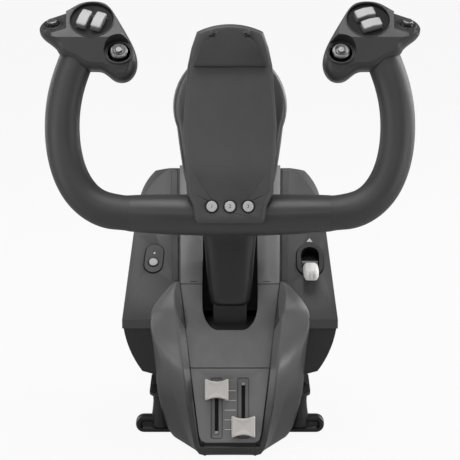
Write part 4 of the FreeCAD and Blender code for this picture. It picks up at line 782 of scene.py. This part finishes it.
# nose: scale marks between the slider channels, and the slits under the strips
for i in range(5):
    plate("scale_mark_%d" % (i + 1), [[(-5.5, -0.28), (6.2, -0.28), (6.2, 0.28), (-5.5, 0.28)]], -0.05, 0.12,
          NOSE @ shift(y=-1 - SLIDER_TOP - 10 * i), "mark_white", "base")
for side_name, side in SIDES.items():
    slit = rounded_outline(7.4, 0.9, 0.4, 4)
    plate("strip_slit_" + side_name, [slit], 2.9, 3.08, DECK @ shift(side * 38.5, 45.2), "dark_plastic",
          "base")


# column: the front casing with its rounded section
def along_line(points, place):
    """Linear interpolation in (place, value) pairs sorted by falling place."""
    for (high, first), (low, second) in zip(points[:-1], points[1:]):
        if place >= low:
            share = (high - place) / (high - low)
            return first + (second - first) * max(0.0, share)
    return points[-1][1]


SHAFT_HOLE = 8.6


def column_casing():
    """Front of the column in the hub's frame: a round head that narrows into a half-round neck."""
    front = [(61, -24), (-61, -24), (-132.2, -61.7), (-205.9, -82.5)]
    split = [(90, -41), (-68, -41), (-135.4, -88.5), (-199.7, -105.7), (-206, -107.4)]
    side = [(-20.8, 54.1), (-61, 48.5), (-75, 45.2), (-90, 40.5), (-103, 32.6), (-115, 27.8), (-135, 27.0),
            (-206, 22.0)]
    power = [(61, 0.3), (-61, 0.36), (-110, 0.55), (-206, 0.6)]
    rows = [(HEAD_RADIUS * math.sin(math.radians(a)), HEAD_RADIUS * math.cos(math.radians(a)), 1.0) for a in
            (88, 84, 78, 71, 64, 56, 48, 40, 32, 24, 17, 10.5, 6.5, 2.5, -1.5, -5.5, -10.5, -15.5)]
    place = -20.8
    while place > -202:
        rows.append((place, along_line(side, place), 1.0))
        place -= 4.6
    rows += [(-203.0, 22.1, 0.985), (-204.6, 21.9, 0.94), (-205.6, 21.6, 0.86)]
    solid = bmesh.new()
    grid = []
    steps = 36
    for place, half, reach in rows:
        low, high, bend = along_line(split, place), along_line(front, place), along_line(power, place)
        seam = low + 0.1
        line = []
        for i in range(steps + 1):
            a = math.pi * i / steps
            x = half * math.copysign(abs(math.cos(a)) ** bend, math.cos(a))
            z = seam + (high - seam) * reach * math.sin(a) ** bend
            line.append(solid.verts.new((x * reach, place, z)))
        grid.append(line)
    for first, second in zip(grid[:-1], grid[1:]):
        for i in range(steps):
            middle = (first[i].co + second[i + 1].co) / 2
            if math.hypot(middle.x, middle.y) > SHAFT_HOLE:
                solid.faces.new((first[i], second[i], second[i + 1], first[i + 1]))
    solid.faces.new(grid[-1])
    solid.faces.new(list(reversed(grid[0])))
    for vertex in [v for v in solid.verts if not v.link_faces]:
        solid.verts.remove(vertex)
    bmesh.ops.recalc_face_normals(solid, faces=solid.faces)
    mesh = bpy.data.meshes.new("column_casing")
    solid.to_mesh(mesh)
    solid.free()
    piece = keep("column_casing", mesh, HUB, "column_plastic", "column")
    wall = piece.modifiers.new("wall", "SOLIDIFY")
    wall.thickness = 1.8 * MM
    wall.offset = -1
    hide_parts("column_front")
    lathe("shaft_seal",
          [(7.2, -24.6), (12.5, -24.6), (12.5, -23.6), (11.8, -23.2), (8.0, -23.2), (7.2, -23.6)],
          HUB, "gap_black", "column")


column_casing()


# desk clamps: knobs with dished wings, on a threaded screw
for side_name, side in SIDES.items():
    axis = shift(side * CLAMP_X, CLAMP_Y)
    body = "knob_" + side_name
    wings = outline_piece("wing_" + side_name, 54, 19, 8.8,
                          [(-6.8, -3.4), (-5.6, -4.9), (-4.2, -5.9), (-2.4, -6.0), (-0.8, -5.2), (0, -3.2),
                           (0, 3.2), (-0.8, 5.2), (-2.4, 6.0), (-4.2, 5.9), (-5.6, 4.9), (-6.8, 3.4)],
                          axis @ shift(z=-63.8) @ turned(90, "X"), "black_plastic", body, "black_plastic",
                          closed=False)
    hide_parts("clamp_knob_" + side_name)
    lathe("wing_hub_" + side_name,
          [(0.2, -66), (9.0, -66), (10.0, -65), (10.0, -57), (9.6, -52), (8.6, -44), (8.2, -38), (8.4, -33),
           (9.6, -31.6), (9.6, -30.8), (9.0, -30.4), (0.2, -30.4)],
          axis, "black_plastic", body, closed=False)
    thread = [(0.2, -30.6), (3.4, -30.6)]
    thread += [(3.9 if i % 2 else 3.35, -30.0 + 1.5 * i) for i in range(48)]
    thread += [(3.2, 42.5), (0.2, 43.2)]
    lathe("clamp_screw_" + side_name, thread, axis, "steel", body, closed=False)

# nose: dark borders of the slider channels
for side_name, side in SIDES.items():
    outline_piece("channel_line_" + side_name, CHANNEL_WIDTH, CHANNEL_LENGTH, 2.0,
                  [(0.0, -0.5), (0.45, -0.5), (0.45, 0.1), (0.3, 0.18), (0.1, 0.18), (0.0, 0.1)],
                  NOSE @ shift(side * SLIDER_X, CHANNEL_MIDDLE), "gap_black", "base", "black_plastic")


# sliders: saddle-shaped knobs with a dished top
def saddle_loop(share, height):
    """Outline of a knob bitten in at both ends, scaled about its middle."""
    half, reach, bite, turn = 12.3, 11.9, 3.4, 2.2
    upper = []
    for i in range(21):
        x = half * math.cos(math.pi * i / 20)
        fall = max(0.0, (abs(x) - (half - turn)) / turn)
        corner = turn * (1 - math.sqrt(max(0.0, 1 - fall * fall)))
        upper.append((x, reach - bite * (1 - (x / half) ** 2) - corner))
    side = [(-half, 5.2), (-half, 0.0), (-half, -5.2)]
    loop = upper + side + [(-x, -y) for x, y in upper] + [(-x, -y) for x, y in side]
    return [(x * share, y * share, height) for x, y in loop]


SADDLE_STACK = [(0.5, 1.3), (0.93, 1.3), (0.985, 2.0), (1.0, 4.0), (1.0, 8.4), (0.985, 10.6), (0.95, 12.0),
                (0.89, 12.8), (0.8, 13.0), (0.66, 12.7), (0.5, 12.3), (0.32, 12.05), (0.12, 11.95)]
for side_name, side in SIDES.items():
    drop = SLIDER_TOP + (SLIDER_TRAVEL if side > 0 else 0)
    mesh = ring_mesh("saddle_" + side_name, [saddle_loop(*one) for one in SADDLE_STACK], False)
    place = NOSE @ shift(side * SLIDER_X, -drop)
    knob = keep("saddle_" + side_name, mesh, place, "knob_plastic", "slider_" + side_name)
    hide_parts("slider_" + side_name)
    outline_piece("saddle_stem_" + side_name, 3.0, 6.0, 0.6, [(-0.3, -8), (0, -7.7), (0, 1.6), (-0.2, 1.9)],
                  place, "lever_plastic", "slider_" + side_name, "knob_plastic", closed=False)

# gear lever: fluted grip with three teeth at its end
LEVER = GEAR @ shift(z=-6) @ turned(GEAR_LEAN, "X")


def fluted_loop(grow, height, depth):
    """Rounded rectangle with twelve shallow flutes."""
    loop = []
    for x, y in rounded_outline(15.6 + 2 * grow, 13.4 + 2 * grow, 4.8 + grow, 12):
        angle = math.atan2(y, x)
        factor = 1 - depth * (0.5 + 0.5 * math.cos(12 * angle)) ** 2
        loop.append((x * factor, y * factor, height))
    return loop


# growth, height and flute depth
GRIP_STACK = [(-2.5, 17.6, 0.0), (-0.8, 17.9, 0.0), (0.0, 19.0, 0.01), (0.2, 21.5, 0.06), (0.2, 30.0, 0.07),
              (0.0, 38.0, 0.07), (-0.5, 40.5, 0.05), (-1.6, 42.0, 0.02), (-3.0, 42.6, 0.0)]
grip = ring_mesh("gear_grip", [fluted_loop(*one) for one in GRIP_STACK], False)
keep("gear_grip", grip, LEVER, "gear_plastic", "gear_lever")
for i, x in enumerate((-4.3, 0, 4.3), 1):
    outline_piece("gear_tooth_%d" % i, 2.6, 6.4, 1.0, [(-0.2, 41.0), (0, 41.4), (0, 43.4), (-0.5, 44.2)],
                  LEVER @ shift(x), "gear_plastic", "gear_lever", "knob_plastic", closed=False)


# ---------------------------------------------------------------- stage, light, camera

def stage_material():
    """Floor and backdrop: white to the camera, partly so in reflections, mid grey to the other light."""
    material = bpy.data.materials.new("studio_paper")
    material.use_nodes = True
    tree = material.node_tree
    nodes, links = tree.nodes, tree.links
    nodes.clear()
    out = nodes.new("ShaderNodeOutputMaterial")
    paper = nodes.new("ShaderNodeBsdfDiffuse")
    paper.inputs["Color"].default_value = (0.42, 0.42, 0.42, 1)
    glow = nodes.new("ShaderNodeEmission")
    glow.inputs["Color"].default_value = (1, 1, 1, 1)
    glow.inputs["Strength"].default_value = 1.0
    path = nodes.new("ShaderNodeLightPath")
    glossy = nodes.new("ShaderNodeMath")
    glossy.operation = "MULTIPLY"
    glossy.inputs[1].default_value = 0.16
    links.new(path.outputs["Is Glossy Ray"], glossy.inputs[0])
    either = nodes.new("ShaderNodeMath")
    either.operation = "MAXIMUM"
    seen = nodes.new("ShaderNodeMath")
    seen.operation = "MAXIMUM"
    links.new(path.outputs["Is Camera Ray"], seen.inputs[0])
    links.new(path.outputs["Is Transmission Ray"], seen.inputs[1])
    links.new(seen.outputs[0], either.inputs[0])
    links.new(glossy.outputs[0], either.inputs[1])
    share = nodes.new("ShaderNodeMath")
    share.operation = "MULTIPLY"
    share.inputs[1].default_value = 0.93
    links.new(either.outputs[0], share.inputs[0])
    blend = nodes.new("ShaderNodeMixShader")
    links.new(share.outputs[0], blend.inputs["Fac"])
    links.new(paper.outputs["BSDF"], blend.inputs[1])
    links.new(glow.outputs["Emission"], blend.inputs[2])
    links.new(blend.outputs["Shader"], out.inputs["Surface"])
    return material


FLOOR_HALF = 6.0
SWEEP_START = 3.4
SWEEP_RADIUS = 0.8
BACKDROP_TOP = 5.0


def build_stage():
    """A floor just under the part that sweeps up into a backdrop far behind it."""
    low = cad_low.z - 0.0005
    profile = [(-FLOOR_HALF, low), (SWEEP_START, low)]
    profile += [(SWEEP_START + SWEEP_RADIUS * math.sin(a), low + SWEEP_RADIUS * (1 - math.cos(a)))
                for a in (math.pi / 2 * i / 12 for i in range(1, 13))]
    profile.append((SWEEP_START + SWEEP_RADIUS, BACKDROP_TOP))
    mesh = bpy.data.meshes.new("backdrop")
    vertices = [(x, y, z) for y, z in profile for x in (-FLOOR_HALF, FLOOR_HALF)]
    faces = [(2 * i, 2 * i + 1, 2 * i + 3, 2 * i + 2) for i in range(len(profile) - 1)]
    mesh.from_pydata(vertices, [], faces)
    for face in mesh.polygons:
        face.use_smooth = True
    backdrop = bpy.data.objects.new("backdrop", mesh)
    bpy.context.scene.collection.objects.link(backdrop)
    mesh.materials.append(stage_material())


def area_light(name, place, target, size, power):
    """Rectangular light at a place, turned to its aim."""
    data = bpy.data.lights.new(name, "AREA")
    data.shape = "RECTANGLE"
    data.size, data.size_y = size
    data.energy = power
    lamp = bpy.data.objects.new(name, data)
    lamp.location = place
    lamp.rotation_euler = (Vector(target) - Vector(place)).to_track_quat("-Z", "Y").to_euler()
    bpy.context.scene.collection.objects.link(lamp)


def build_lights():
    """Soft lights round the part, and a world that is bright only to the camera."""
    aim = (0, -0.1, 0.2)
    area_light("top_soft", (-0.15, -0.35, 1.7), aim, (1.5, 0.9), 20)
    area_light("key_left", (-0.85, -0.85, 0.75), (-0.05, -0.1, 0.1), (0.3, 0.9), 3.4)
    area_light("key_right", (1.25, 0.25, 0.95), aim, (0.3, 1.3), 13)
    area_light("low_left", (-1.1, -0.6, 0.22), (-0.03, -0.1, 0.05), (0.25, 0.5), 2.2)
    area_light("low_right", (1.05, -0.55, 0.25), (0.03, -0.1, 0.05), (0.25, 0.5), 3.0)
    area_light("rim_left", (-1.3, 0.9, 0.6), aim, (0.5, 1.4), 8)
    area_light("rim_right", (1.3, 0.9, 0.6), aim, (0.5, 1.4), 11)
    area_light("front_soft", (0, -2.4, 1.3), aim, (1.2, 0.8), 6)
    world = bpy.data.worlds.new("studio")
    world.use_nodes = True
    nodes, links = world.node_tree.nodes, world.node_tree.links
    background = nodes["Background"]
    path = nodes.new("ShaderNodeLightPath")
    strength = nodes.new("ShaderNodeMapRange")
    strength.inputs["To Min"].default_value = 0.07
    strength.inputs["To Max"].default_value = 0.94
    links.new(path.outputs["Is Camera Ray"], strength.inputs["Value"])
    links.new(strength.outputs["Result"], background.inputs["Strength"])
    background.inputs["Color"].default_value = (1, 1, 1, 1)
    bpy.context.scene.world = world


FOCAL_LENGTH = 140.9
SENSOR_WIDTH = 36
CAMERA_PLACE = (0, -1.8837, 0.6379)
CAMERA_AIM = (0, -0.145, 0.172)


def build_camera():
    """A long lens in front of the part, a little above it."""
    data = bpy.data.cameras.new("camera")
    data.lens = FOCAL_LENGTH
    data.sensor_width = SENSOR_WIDTH
    data.clip_start, data.clip_end = 0.05, 50
    camera = bpy.data.objects.new("camera", data)
    camera.location = CAMERA_PLACE
    aim = Vector(CAMERA_AIM) - camera.location
    camera.rotation_euler = aim.to_track_quat("-Z", "Y").to_euler()
    bpy.context.scene.collection.objects.link(camera)
    bpy.context.scene.camera = camera


build_stage()
build_lights()
build_camera()
bpy.context.scene.view_settings.view_transform = "Standard"
